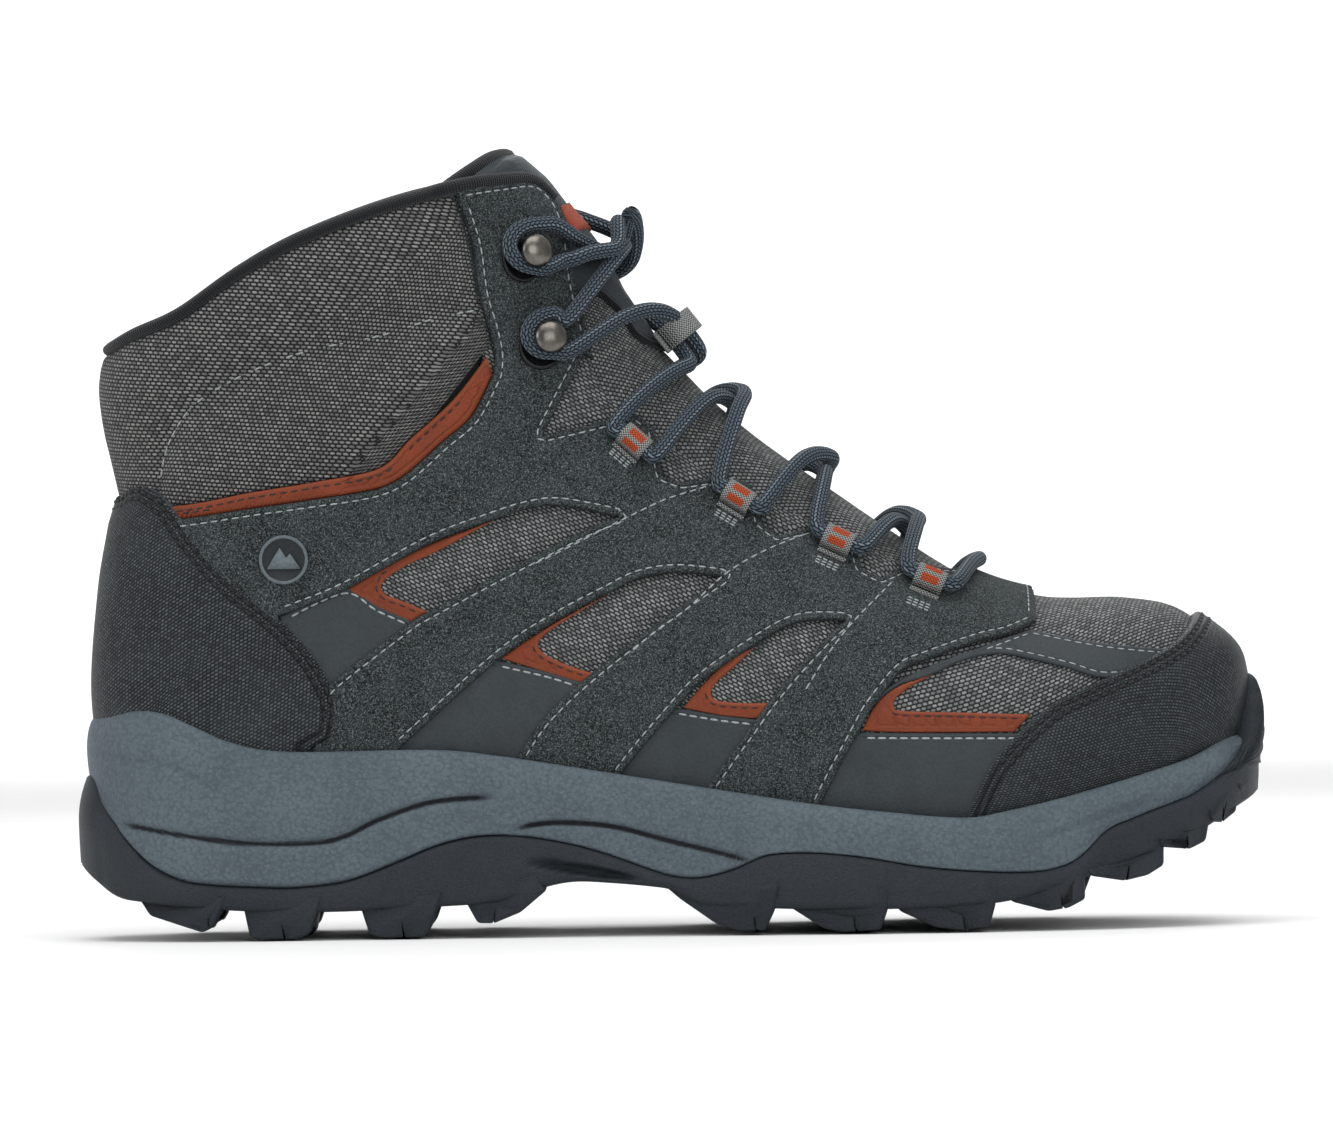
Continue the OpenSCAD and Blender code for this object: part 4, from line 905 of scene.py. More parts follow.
def rubber_material(name, dark, light, rough=0.7, grain=0.5, depth=0.1, groove_shade_color=None):
    s = Shader(name)
    p = s.place()
    fine = s.noise(p, grain, 4, 0.6)
    cells = s.cells(p, grain*1.6)
    cloud = s.noise(p, 22, 4)
    color = s.mix(s.step(cloud, 0.3, 0.7, 0.32, 0.62), dark, light)
    color = s.mix(s.step(fine, 0.5, 0.62, 0, 0.5), color, light)
    color = s.mix(s.step(cells, 0.42, 0.7, 0, 0.45), color, dark)
    # Painted shade: the moulded grooves are darkened towards the given near-black colour
    if groove_shade_color:
        color = s.mix(s.step(s.attribute("groove"), 0.25, 0.9), color, groove_shade_color)
    height = s.add(fine, s.mul(cells, -0.5))
    return s.surface(color, rough, s.bump(height, depth), spec=0.22)


def lace_material():
    """A round braid: slanted stitches that lean the other way in every second column."""
    s = Shader("lace")
    x, y, _ = s.xyz(s.uv())
    around = s.mul(y, 14.0)
    column, share = s.math("FLOOR", around), s.math("FRACT", around)
    lean = s.sub(s.mul(s.math("FLOORED_MODULO", column, 2.0), 2.0), 1.0)
    slant = s.mul(s.mul(lean, share), 0.55)
    ahead = s.math("FRACT", s.add(s.math("DIVIDE", x, 1.35), slant))

    def hump(t):
        return s.mul(s.mul(t, s.sub(1.0, t)), 4.0)
    h = s.mul(hump(ahead), hump(share))
    color = s.mix(s.step(h, 0.12, 0.7), srgb(10, 13, 18), srgb(76, 89, 100))
    light = s.math("LESS_THAN", s.math("FLOORED_MODULO", column, 4.0), 0.5)
    tracer = s.mul(light, s.step(h, 0.3, 0.8, 0, 0.75))
    color = s.mix(tracer, color, srgb(116, 128, 138))
    return s.surface(color, 0.75, s.bump(h, 0.3), sheen=0.05, spec=0.12)


def webbing_material():
    """Woven webbing: light and dark checks with rust blocks one after the other."""
    s = Shader("webbing")
    x, y, _ = s.xyz(s.uv())
    warp, weft = s.wave(x, 0.9), s.wave(y, 0.8)
    check = s.step(s.mul(warp, weft), -0.3, 0.3)
    grey = s.mix(check, srgb(52, 54, 55), srgb(150, 152, 150))
    rust = s.mix(check, srgb(120, 44, 22), srgb(176, 78, 46))
    block = s.math("ABSOLUTE", s.sub(s.math("FRACT", s.math("DIVIDE", y, 3.4)), 0.5))
    middle = s.step(s.math("ABSOLUTE", s.sub(x, 4.0)), 2.5, 2.2)
    band = s.mul(s.step(s.sub(block, 0.32), 0.03, -0.03), middle)
    color = s.mix(s.mul(band, s.step(s.attribute("core"), 0.4, 0.6)), grey, rust)
    height = s.add(s.mul(warp, 0.5), s.mul(weft, 0.5))
    return s.surface(color, 0.85, s.bump(height, 0.16), spec=0.2)


def metal_material():
    s = Shader("antique_metal")
    p = s.place()
    tarnish = s.step(s.noise(p, 3.0, 4, 0.6), 0.3, 0.75)
    color = s.mix(tarnish, srgb(112, 108, 102), srgb(84, 81, 77))
    ruff = s.step(s.noise(p, 0.9, 3), 0.3, 0.7, 0.24, 0.34)
    return s.surface(color, ruff, s.bump(s.noise(p, 0.9, 2), 0.008), metal=1.0)


def plain_fibre(name, dark, light, size=0.6, rough=0.9):
    s = Shader(name)
    p = s.place()
    n = s.noise(p, size, 5, 0.65)
    color = s.mix(s.step(n, 0.3, 0.7), dark, light)
    return s.surface(color, rough, s.bump(n, 0.15), sheen=0.1, spec=0.2)


def thread_material(name, dark, light):
    s = Shader(name)
    n = s.noise(s.place(), 0.35, 3)
    twist = s.math("SINE", s.mul(s.xyz(s.place())[0], 9.0))
    color = s.mix(s.step(n, 0.3, 0.7), dark, light)
    height = s.add(n, s.mul(twist, 0.3))
    return s.surface(color, 0.7, s.bump(height, 0.06), sheen=0.1, spec=0.3)


SUEDE = suede_material()
SMOOTH = leather_material("smooth_leather", srgb(40, 45, 48), srgb(60, 66, 70), 0.5, 1.4)
ACCENT = leather_material("accent_leather", srgb(94, 40, 20), srgb(132, 60, 34), 0.55, 1.5,
                          srgb(150, 80, 55))
WINDOW_MESH = mesh_material("window_mesh", (1.75, 0.85), 33, srgb(30, 32, 33),
                            srgb(88, 91, 92), srgb(142, 145, 145), (0.44, 0.4))
COLLAR_MESH_MAT = mesh_material("collar_mesh", (1.5, 1.0), 4, srgb(20, 21, 22),
                                srgb(90, 90, 90), srgb(138, 137, 136), (0.42, 0.38), 0.3)
CAP = twill_material("toe_cap_cover", srgb(14, 17, 19), srgb(70, 77, 80), 0.7, 0.48, 20)
HEEL_MAT = twill_material("heel_cover", srgb(9, 11, 13), srgb(78, 85, 88), 0.78, 0.48, 33)
BINDING = knit_material("binding_knit", srgb(7, 9, 11), srgb(30, 33, 37))
LINING = mesh_material("lining_knit", (1.2, 0.9), 0, srgb(34, 36, 38), srgb(58, 61, 63),
                       srgb(84, 88, 90), (0.46, 0.42), 0.3, 0.2)
# The last colour is painted shade for the moulded grooves in the midsole's wall
MIDSOLE = rubber_material("midsole_foam", srgb(62, 72, 79), srgb(96, 108, 116), 0.5, 0.7,
                          0.5, srgb(16, 19, 25))
OUTSOLE = rubber_material("outsole_rubber", srgb(30, 35, 40), srgb(48, 54, 60), 0.5, 0.4, 0.4)
LACE = lace_material()
WEBBING = webbing_material()
METAL = metal_material()
ENAMEL = rubber_material("black_enamel", srgb(10, 10, 11), srgb(22, 22, 24), 0.25, 0.7, 0.02)
PLASTIC = rubber_material("moulded_plastic", srgb(150, 148, 140), srgb(186, 182, 172), 0.5)
BOARD = plain_fibre("fibre_board", srgb(160, 138, 104), srgb(190, 168, 130), 0.7)
FOOTBED = plain_fibre("footbed_fabric", srgb(44, 50, 53), srgb(70, 78, 82), 0.5)
THREAD = thread_material("grey_thread", srgb(122, 128, 130), srgb(160, 166, 168))
DARK_THREAD = thread_material("black_thread", srgb(12, 12, 13), srgb(36, 37, 40))
BADGE = rubber_material("badge_rubber", srgb(72, 82, 86), srgb(100, 110, 114), 0.5, 0.5, 0.03)
BADGE_DARK = rubber_material("badge_ground", srgb(28, 32, 34), srgb(42, 47, 50), 0.5, 0.5, 0.05)
LABEL = knit_material("label_weave", srgb(150, 58, 34), srgb(196, 88, 56), 0.6)


# ------------------------------------------------------------------------- the upper
# Inner and outer height of each layer over the last
GUARD_O, SUEDE_O, COVER_O = (0.6, 1.3), (1.35, 2.5), (0.2, 2.4)
SHELL, TONGUE = "boot_shell", "tongue"
SIM_SCALE, SIM_FRAMES = 10.0, 20


def in_windows(x, z):
    return np.any([inside(w, x, z) for w in WINDOWS], axis=0)


def under_collar(x, z):
    """Below the collar's edge and beside the throat."""
    return inside(BELOW_COLLAR, x, z) & ~inside(THROAT, x, z)


def suede_side(x, z):
    return (under_collar(x, z) & ~inside(COLLAR_SIDE, x, z) & ~inside(HEEL_EMPTY, x, z)
            & ~in_windows(x, z))


def soft(distance, reach, power=0.7):
    """Share of the full padding at a distance from where it is held down."""
    return np.clip(distance/reach, 0, 1)**power


def line_distance(panel, lines, wrap):
    """How far each of the panel's points lies from the nearest of the lines, in mm."""
    runs = [run for line in lines for run in trace(line, wrap, 0.0, 18.0)]
    return nearest(np.concatenate([point(r[:, 0], r[:, 1]) for r in runs]), panel.place)


def read_values(items, name, width=1):
    """One value or vector of each vertex or attribute item, as an array."""
    values = np.empty(len(items)*width)
    items.foreach_get(name, values)
    return values.reshape(-1, width) if width > 1 else values


def puff_up(obj, pinned, pressure, cap):
    """Swells a closed pad as cloth under inner pressure; pinned points stay where they are."""
    scene = bpy.context.scene
    before = read_values(obj.data.vertices, "co", 3)
    obj.data.vertices.foreach_set("co", (before*SIM_SCALE).ravel())
    obj.vertex_groups.new(name="pin").add([int(i) for i in np.nonzero(pinned)[0]], 1.0, "REPLACE")
    cloth = obj.modifiers.new("cloth", "CLOTH")
    cloth.settings.quality = 6
    cloth.settings.vertex_group_mass = "pin"
    cloth.settings.use_pressure = True
    cloth.settings.uniform_pressure_force = pressure
    cloth.settings.effector_weights.gravity = 0
    cloth.point_cache.frame_end = SIM_FRAMES
    for frame_no in range(1, SIM_FRAMES + 1):
        scene.frame_set(frame_no)
    swollen = obj.evaluated_get(bpy.context.evaluated_depsgraph_get()).to_mesh()
    move = read_values(swollen.vertices, "co", 3)/SIM_SCALE - before
    obj.modifiers.remove(cloth)
    obj.vertex_groups.clear()
    scene.frame_set(1)
    far = np.linalg.norm(move, axis=1, keepdims=True)
    move = np.where(far > cap*MM, move*cap*MM/np.maximum(far, 1e-9), move)
    obj.data.vertices.foreach_set("co", (before + move).ravel())
    obj.data.update()


def edge_distance(obj):
    """How far each point lies from its panel's edge, in mm; 0 on the hidden side."""
    return read_values(obj.data.attributes["edge"].data, "value")


def above_midsole(x, z):
    return z > height_on(MIDSOLE_TOP, x) + 0.5


def swell_in(panel):
    """A cover lies flat at its rim and swells over the next few millimetres."""
    return 1.2*np.clip(panel.dist/8, 0, 1)


def smooth_share(t):
    t = np.clip(t, 0, 1)
    return t*t*(3 - 2*t)


def full_tip(panel):
    """The toe cap swells like any cover and is fuller at the very tip."""
    x, z = panel.place[:, 0], panel.place[:, 2]
    return swell_in(panel) + 1.8*smooth_share((x - 238)/9)*smooth_share((76 - z)/8)


def heel_map(places, turn_x=-12.0, r=34.0):
    """Flat map of the heel: round a corner of radius r behind turn_x, straight ahead of it."""
    x, y = places[:, 0] - turn_x, places[:, 1]
    behind = r*(math.pi/2 - np.arctan2(np.maximum(-x, 0), np.abs(y) + 1e-6))
    return np.stack([np.sign(y)*(behind + np.maximum(x, 0)), places[:, 2]], -1)


def build_vamp():
    vamp = Panel(lambda x, z: inside(VAMP_AREA, x, z) & ~inside(THROAT, x, z),
                 [VAMP_SEAM, EYESTAY], (0, 8))
    held = line_distance(vamp, [TOE_CAP, VAMP_STRAP, WINDOWS[3], ACCENTS[3]], False)
    obj = vamp.mesh("vamp_mesh_cloth", -1.0, 0.0, 0.3, lambda panel: 0.6*soft(held, 9))
    place(obj, SHELL, "mesh_fabric", WINDOW_MESH, "vamp_mesh")


def build_quarter():
    """The mesh of both sides, which swells a little inside the suede's windows."""
    seam = spline([(-60, 109.5), (-25, 111.5), (-7, 114.3), (9.7, 117), (28, 120.6),
                   (37, 128), (47.4, 137.4), (54, 149), (53, 166), (51, 180), (46.8, 194)])
    above_seam = area(seam, [(46, FAR), (-FAR, FAR), (-FAR, 107)])
    quarter = Panel(lambda x, z: (under_collar(x, z) & ~inside(VAMP_AREA, x, z)
                                  & ~inside(above_seam, x, z)),
                    [COLLAR_TOP - A([0, 2.3]), EYESTAY, VAMP_SEAM, seam], (4, 18), spacing=2.8)
    held = line_distance(quarter, WINDOWS[:3] + ACCENTS[:3] + [EYESTAY, MUDGUARD_TOP], False)
    x, z = quarter.place[:, 0], quarter.place[:, 2]
    held = np.where(in_windows(x, z) & ~inside(MUDGUARD, x, z), held, 0)
    obj = quarter.mesh("quarter_mesh_cloth", -1.0, 0.0, 0.3, lambda panel: 1.5*soft(held, 6),
                       quarter.place[:, [0, 2]])
    place(obj, SHELL, "mesh_fabric", WINDOW_MESH, "quarter_mesh_lateral", "quarter_mesh_medial")


def build_collar_panel():
    """The padded mesh collar with its quilted seam."""
    collar = Panel(lambda x, z: (z < height_on(COLLAR_TOP, x) - 1.2)
                   & inside(COLLAR_MESH, x, z) & inside(BELOW_COLLAR, x, z),
                   [COLLAR_TOP - A([0, 1.2]), ACCENT_INNER, SUEDE_COLLAR], (11, 18), wrap=True,
                   spacing=2.6, v_reach=0.95)
    seam = 1 - 0.75*np.exp(-(line_distance(collar, [QUILT], True)/2.4)**2)
    obj = collar.mesh("collar_mesh_cloth", -1.0, 0.0, 0.4,
                      lambda panel: 2.3*soft(panel.dist, 9, 0.6)*seam)
    quilt = trace(QUILT, True, 11, 18)
    channel = np.concatenate([off(r[:, 0], r[:, 1], 0.6) for r in quilt])
    in_seam = nearest(channel, read_values(obj.data.vertices, "co", 3)/MM) < 1.6
    puff_up(obj, (edge_distance(obj) < 2.0) | in_seam, 3.0, 1.8)
    place(obj, SHELL, "collar_fabric", COLLAR_MESH_MAT, "collar_panel")
    stitches("quilt_stitching", quilt, 0.95, "collar_fabric", THREAD, dash=2.0)


def build_mudguard():
    guard = Panel(lambda x, z: inside(MUDGUARD, x, z - 0.9), [MUDGUARD_TOP + A([0, 0.9])], (3, 14),
                  spacing=3.2)
    obj = guard.mesh("mudguard_leather", *GUARD_O, edge_r=0.5)
    place(obj, SHELL, "smooth_leather", SMOOTH, "mudguard_lateral", "mudguard_medial")
    rows = guard.inset(1.4, lambda x, z: above_midsole(x, z) & (x > 2) & in_windows(x, z))
    stitches("mudguard_stitching", rows, GUARD_O[1], "smooth_leather", THREAD, 2.1, 0.7, 0.34)


def build_vamp_strap():
    strap = Panel(lambda x, z: inside(VAMP_STRAP, x, z), [VAMP_STRAP], (0.5, 8), spacing=2.2)
    obj = strap.mesh("vamp_strap_leather", *GUARD_O, edge_r=0.5)
    place(obj, SHELL, "smooth_leather", SMOOTH, "vamp_straps")
    rows = strap.inset(1.4, lambda x, z: (z > 58) & ~suede_side(x, z))
    stitches("vamp_strap_stitching", rows, GUARD_O[1], "smooth_leather", THREAD)


def build_accents():
    """The rust trims in the windows, stitched along their rims, and the one on the collar."""
    rows = []
    for k, (outline, rim) in enumerate(zip(ACCENTS, ACCENT_RIMS)):
        near = tree_of([(x, z, 0) for x, z in rim])
        trim = Panel(lambda x, z: inside(outline, x, z), [outline], (3, 15), spacing=1.8)
        obj = trim.mesh(f"accent_leather_{k + 1}", 0.05, 1.35, edge_r=0.9)
        place(obj, SHELL, "accent_leather", ACCENT)
        rows += trim.inset(1.35, lambda x, z: A([near.find((a, b, 0))[2] < 2.0
                                                 for a, b in zip(x, z)]))
    stitches("accent_stitching", rows, 1.35, "accent_leather", DARK_THREAD)
    band = Panel(lambda x, z: inside(ACCENT_BAND, x, z), [ACCENT_BAND], (9, 17), wrap=True,
                 spacing=2.0, v_reach=0.95)
    obj = band.mesh("accent_leather_collar", 0.05, 1.6, edge_r=1.0)
    place(obj, SHELL, "accent_leather", ACCENT, "accent_trim_lateral", "accent_trim_medial")
    rows = band.inset(1.5, lambda x, z: z > height_on(ACCENT_INNER, x) - 2.4)
    stitches("accent_collar_stitching", rows, 1.6, "accent_leather", DARK_THREAD)


def build_suede():
    suede = Panel(suede_side, [COLLAR_TOP, EYESTAY, SUEDE_COLLAR, ACCENT_OUTER, HEEL_EMPTY]
                  + WINDOWS, (3, 18))
    obj = suede.mesh("suede_overlay_leather", *SUEDE_O, edge_r=0.8)
    place(obj, SHELL, "suede", SUEDE, "suede_overlay")
    stitches("suede_stitching", suede.inset(1.9, above_midsole), SUEDE_O[1], "suede", THREAD)
    seams = [run for line in SUEDE_SEAMS for run in trace(line, False, 3, 18)]
    stitches("suede_arm_stitching", seams, SUEDE_O[1], "suede", THREAD)


def build_covers():
    """The toe cap and the heel cover, each with two rows of thick stitches."""
    cap = Panel(lambda x, z: inside(TOE_CAP_AREA, x, z), [TOE_CAP], (0, 6), spacing=2.2)
    obj = cap.mesh("toe_cap_cover", *COVER_O, 1.2, full_tip)
    place(obj, SHELL, "toe_cap_plastic", CAP, "toe_cap")
    heel = Panel(lambda x, z: inside(HEEL_COVER_AREA, x, z), [HEEL_COVER_AREA], (8.5, 16),
                 wrap=True, v_reach=0.7)
    obj = heel.mesh("heel_cover_shell", *COVER_O, 1.2, swell_in, heel_map(heel.place))
    place(obj, SHELL, "heel_cover_fabric", HEEL_MAT, "heel_cover")
    for d in (1.8, 3.8):
        for panel, name, slot, floor in ((cap, "toe_cap", "toe_cap_plastic", 42),
                                         (heel, "heel_cover", "heel_cover_fabric", 52)):
            stitches(f"{name}_stitching_{int(d)}", panel.inset(d, lambda x, z: z > floor),
                     COVER_O[1] + 0.15*d, slot, DARK_THREAD, r=0.42)


# --------------------------------------------------------------------------- the sole
def plan_curve(step):
    """The lasting line in plan from the heel over the lateral side and the toe and back
    over the medial side, with its outward directions."""
    us = np.concatenate([np.linspace(0, 10, 401), 10 + 2*np.sin(np.linspace(0.01, np.pi/2, 160))])

    def side(table, sign):
        half = along(table, us, -1)*foot_share(us)
        return np.stack([along(BASE, us)[:, 0], along(CENTRE, us) + sign*half], -1)
    loop = np.concatenate([side(HALF_LATERAL, -1)[::-1], side(HALF_MEDIAL, 1)[1:]])
    smooth = resample(loop, step)[:-1]
    for _ in range(6):
        smooth = (np.roll(smooth, 1, axis=0) + 2*smooth + np.roll(smooth, -1, axis=0))/4
    tangent = unit(np.roll(smooth, -1, axis=0) - np.roll(smooth, 1, axis=0))
    return smooth, np.stack([tangent[:, 1], -tangent[:, 0]], -1)


def sweep(plan, out, profile, hoop_only=False):
    """A closed band: profile is a list of (grow, z), one value for all or per plan point."""
    n, s = len(plan), run_length(plan)
    verts, uv = [], []
    for grow, z in profile:
        z = np.broadcast_to(z, n)
        verts.append(np.column_stack([plan + np.broadcast_to(grow, n)[:, None]*out, z]))
        uv.append(np.stack([s, z], -1))
    faces = grid_faces(len(profile), n, loop=not hoop_only, hoop=True)
    return np.concatenate(verts), faces, np.concatenate(uv)


GROOVES = [
    [(-42.9, 30.4), (-25.2, 27.2), (-8.5, 25.1), (8.2, 24.9), (16.6, 26.6), (25.1, 30.6),
     (37.7, 34.8), (48.5, 36), (56, 35.9)],
    [(59.8, 27.2), (65.6, 28.9), (74.5, 29.3), (86.5, 28.1), (100.3, 24.4),
     (114.4, 20.8), (122.7, 18.3)],
    [(-49.7, 49.3), (-39.8, 47.1), (-29.9, 45.6), (-20.8, 41.3), (-14.8, 37)],
    [(193.7, 22.4), (204.8, 25.9), (215.5, 29.4), (227.1, 32.6)]]


def groove_share(verts, lines, half_width):
    """1 in the middle of a moulded groove, 0 away from it; the ends fade out."""
    share = np.zeros(len(verts))
    for line in lines:
        path = spline(line, 0.6)
        tree = tree_of([(x, z, 0) for x, z in path])
        for i, (x, z) in enumerate(verts[:, [0, 2]]):
            _, k, d = tree.find((x, z, 0))
            if d < half_width:
                fade = min(1.0, min(k, len(path) - 1 - k)/10.0 + 0.15)
                share[i] = max(share[i], fade*(1 - (d/half_width)**2))
    return share


def midsole_profile(low, high, wall):
    """Rising outer wall, rounded lip under the upper, and the hidden inner side."""
    profile = [(7.2, low)]
    for k in range(1, wall):
        t = k/wall
        belly = 8.0 + 0.55*math.sin(math.pi*t) - 0.9*t**6
        profile.append((belly, low + (high - 1.0 - low)*t))
    lip = [(6.9, -0.75), (6.5, -0.3), (5.9, -0.05), (5.2, 0.0), (4.4, -0.25), (3.0, -0.9),
           (0.8, -2.0)]
    profile += [(grow, high + dz) for grow, dz in lip]
    return profile + [(-2.0, high - 3.0), (-2.0, low + 1.2), (3.0, low)]


def build_midsole():
    plan, out = plan_curve(1.0)
    x = (plan + 8*out)[:, 0]
    wall, n = 40, len(plan)
    low, high = height_on(SOLE_SPLIT, x) + 0.05, height_on(MIDSOLE_TOP, x)
    profile = midsole_profile(low, high, wall)
    verts, faces, uv = sweep(plan, out, profile)
    outer = np.zeros(len(verts), bool)
    outer[n:wall*n] = True
    share = np.zeros(len(verts))
    share[outer] = groove_share(verts[outer], GROOVES[:2], 1.05)
    share[outer] += 0.4*groove_share(verts[outer], GROOVES[2:], 1.6)
    direction = np.tile(out, (len(profile), 1))
    verts[:, :2] -= (share*1.15)[:, None]*direction
    # The foam stands out a little under the long groove of the heel
    below = height_on(spline(GROOVES[0]), verts[:, 0]) - verts[:, 2]
    heel = outer & (verts[:, 0] > -43) & (verts[:, 0] < 56)
    verts[:, :2] += np.where(heel, 0.5*np.clip(below/3, 0, 1), 0)[:, None]*direction
    # The groove share also goes to the material, where it paints shade into the grooves
    obj = make_object("midsole_foam", verts, faces, uv, {"groove": share, "edge": 0})
    place(obj, SHELL, "midsole_foam", MIDSOLE, "midsole")


HEEL_LUGS = [[(-40, 14), (-35, 6.4), (-28, 4.2), (-21, 2), (-18, 3.4), (-14, 12)],
             [(-11, 12), (-8.6, 0.6), (-6, 0), (4, 0), (7.2, 1.6), (11, 12)],
             [(19, 12), (22.5, 1), (26, 0), (36.5, 0), (38.4, 2), (42, 12)],
             [(46, 12), (50.8, 3.5), (55, 3.4), (62, 6.2), (69, 12), (66, 16)]]
FRONT_LUGS = [[(99, 13), (103.4, 9.1), (112.8, 2.5), (118.9, 0.6), (125.5, 0.8), (128, 6.1),
               (129.5, 13)],
              [(128, 12), (131.5, 6.9), (140.5, 1.1), (145.7, 0), (155.3, 0.6), (157.1, 5.7),
               (158, 12)],
              [(156.5, 12), (160.2, 5.3), (169.2, 1.1), (176.1, 0), (183.4, 0.9), (184.9, 6.1),
               (186, 12)],
              [(184, 15), (189.3, 7.2), (198.8, 4.6), (204, 5.3), (208.4, 7.5), (208.5, 12.7),
               (208.5, 18)],
              [(206, 19), (209.9, 13.5), (218.8, 12), (225, 13.3), (229.3, 15.8), (229.4, 21),
               (229.4, 27)],
              [(226.5, 26), (228.6, 20.5), (236.3, 19.7), (240.7, 21.7), (241.6, 26), (241.6, 33)],
              [(240, 33), (242.2, 26.6), (245.3, 26.3), (249.3, 29.1), (249.6, 35.7), (248.6, 40)],
              [(247.5, 41), (250.4, 33.8), (252.5, 34), (254.9, 36.9), (255.6, 45), (252.5, 48)]]
CENTRE_LUGS = [[(-9, 12), (-7, 0), (7, 0), (9, 12)], [(20, 12), (23, 0), (35, 0), (38, 12)],
               [(103, 13), (114, 1), (125, 0), (129, 12)],
               [(139, 12), (142, 0), (153, 0), (157, 12)],
               [(168, 12), (171, 0.4), (181, 0.6), (185, 12)],
               [(197, 14), (200, 4.2), (209, 6), (213, 16)]]
LUG_INNER, CENTRE_LUG_W = 24.0, 34.0


def rounded(points, r, steps=4):
    """The outline with rounded corners."""
    p = A(points, float)
    out = []
    for i in range(len(p)):
        a, b, c = p[i - 1], p[i], p[(i + 1) % len(p)]
        da, dc = unit(a - b), unit(c - b)
        reach = min(r, 0.45*np.linalg.norm(a - b), 0.45*np.linalg.norm(c - b))
        for k in range(steps + 1):
            t = k/steps
            out.append((1 - t)**2*(b + reach*da) + 2*t*(1 - t)*b + t*t*(b + reach*dc))
    return A(out)


def half_width_at(x, plan, out, grow):
    """Lowest and highest y of the grown plan outline at x."""
    edge = plan + grow*out
    y = []
    for side in (edge[edge[:, 1] < 3], edge[edge[:, 1] >= 3]):
        order = np.argsort(side[:, 0])
        y.append(np.interp(x, side[order, 0], side[order, 1]))
    return y


def with_sipe(p, width=0.7, depth=3.4):
    """A thin slit cut up into the lowest edge of a lug's outline."""
    flat = p[p[:, 1] < p[:, 1].min() + 1.6]
    x, z = (flat[:, 0].min() + flat[:, 0].max())/2 + 1.5, p[:, 1].min()
    k = next(i for i in range(len(p)) if p[i, 0] < x <= p[(i + 1) % len(p), 0]
             and p[i, 1] < z + 3)
    ends = p[[k, (k + 1) % len(p)]]
    mouth = np.interp(x, ends[:, 0], ends[:, 1])
    slit = A([(x - width/2, mouth), (x - width/2, z + depth), (x + width/2, z + depth),
              (x + width/2, mouth)])
    return np.concatenate([p[:k + 1], slit, p[k + 1:]])


def lug_block(outline, side, plan, out, inner, grow):
    """A tread block: the outline swept sideways, its outer face following the sole."""
    p = rounded(outline, 0.9)
    p[:, 1] = np.minimum(p[:, 1], height_on(SOLE_SPLIT, p[:, 0]) - 1.6)
    p = with_sipe(p)
    centre, middle = p.mean(axis=0), 3.0
    edge = half_width_at(p[:, 0], plan, out, grow)[0 if side < 0 else 1]
    flat_from = p[p[:, 1] < p[:, 1].min() + 1.6, 0].min()
    facet = 3.4*np.clip((flat_from - p[:, 0])/max(flat_from - p[:, 0].min(), 1.0), 0, 1)
    inner = min(inner, np.abs(edge - middle).min() - 8)
    stages = [(0.0, 1.6), (0.0, 0.5), (0.05, 0.0), (0.35, 0.0), (0.7, 0.0), (0.93, 0.0),
              (0.985, 0.35), (1.0, 1.1)]
    verts = []
    for share, shrink in stages:
        q = p - shrink*unit(p - centre)
        lean = np.clip(q[:, 1]/12, 0, 1)
        outer = edge - side*(1.6*(1 - lean) + facet)
        inner_y = middle + side*(inner - 1.5*lean)
        verts.append(np.column_stack([q[:, 0], inner_y + (outer - inner_y)*share, q[:, 1]]))
    faces = grid_faces(len(stages), len(p), loop=True) + end_faces(len(stages), len(p), len(p))
    return np.concatenate(verts), [face[::-1] for face in faces] if side > 0 else faces


def centre_lug(outline):
    p = rounded(outline, 1.3)
    m, centre = len(p), p.mean(axis=0)
    stages = [(-1, 1.2), (-0.97, 0.35), (-0.9, 0), (0.9, 0), (0.97, 0.35), (1, 1.2)]
    verts = []
    for side, shrink in stages:
        q = p - shrink*unit(p - centre)
        verts.append(np.column_stack([q[:, 0], np.full(m, 3 + side*CENTRE_LUG_W/2), q[:, 1]]))
    faces = grid_faces(len(stages), m, loop=True, flip=True)
    return np.concatenate(verts), faces + end_faces(len(stages), m, m, flip=True)


def outsole_wall(plan, out):
    """The rubber's outer band, with the slit under the arch."""
    toe = np.clip((plan[:, 0] - 205)/40, 0, 1)
    heel = np.clip((-plan[:, 0] - 22)/20, 0, 1)
    x = (plan + 8.6*out)[:, 0]
    low, high = height_on(TREAD_BASE, x), height_on(SOLE_SPLIT, x) - 0.05
    base = 8.6 + 2.6*toe + 2.1*heel
    ripple = 0.35*np.maximum(0, np.sin(np.arange(len(plan))*2*math.pi/9))**4
    profile = [(base - 2.2, low + 0.1), (base - 0.7, low + 0.35)]
    wall = 12
    for k in range(wall):
        t = k/(wall - 1)
        lean = 2.0*heel*max(0.0, (t - 0.5)/0.5)**2
        profile.append((base - ripple*(1 - t) + 0.35*math.sin(math.pi*t) - lean,
                        low + 1.1 + (high - 0.8 - low - 1.1)*t))
    profile += [(base - 0.5 - 2.3*heel, high - 0.2), (base - 1.4 - 2.3*heel, high),
                (-6.0, high - 0.3), (-6.0, np.maximum(low + 1.5, high - 4.0) - 1.0)]
    verts, faces, _ = sweep(plan, out, profile)
    ahead, up = verts[:, 0] - 78, verts[:, 2] - 17.1
    slit = np.clip(1.4*(1 - (ahead/15)**2 - ((up + 0.17*ahead)/1.5)**2), 0, 1)
    slit[len(plan)*(wall + 3):] = 0
    verts[:, :2] -= (3.2*slit)[:, None]*np.tile(out, (len(profile), 1))
    return verts, faces


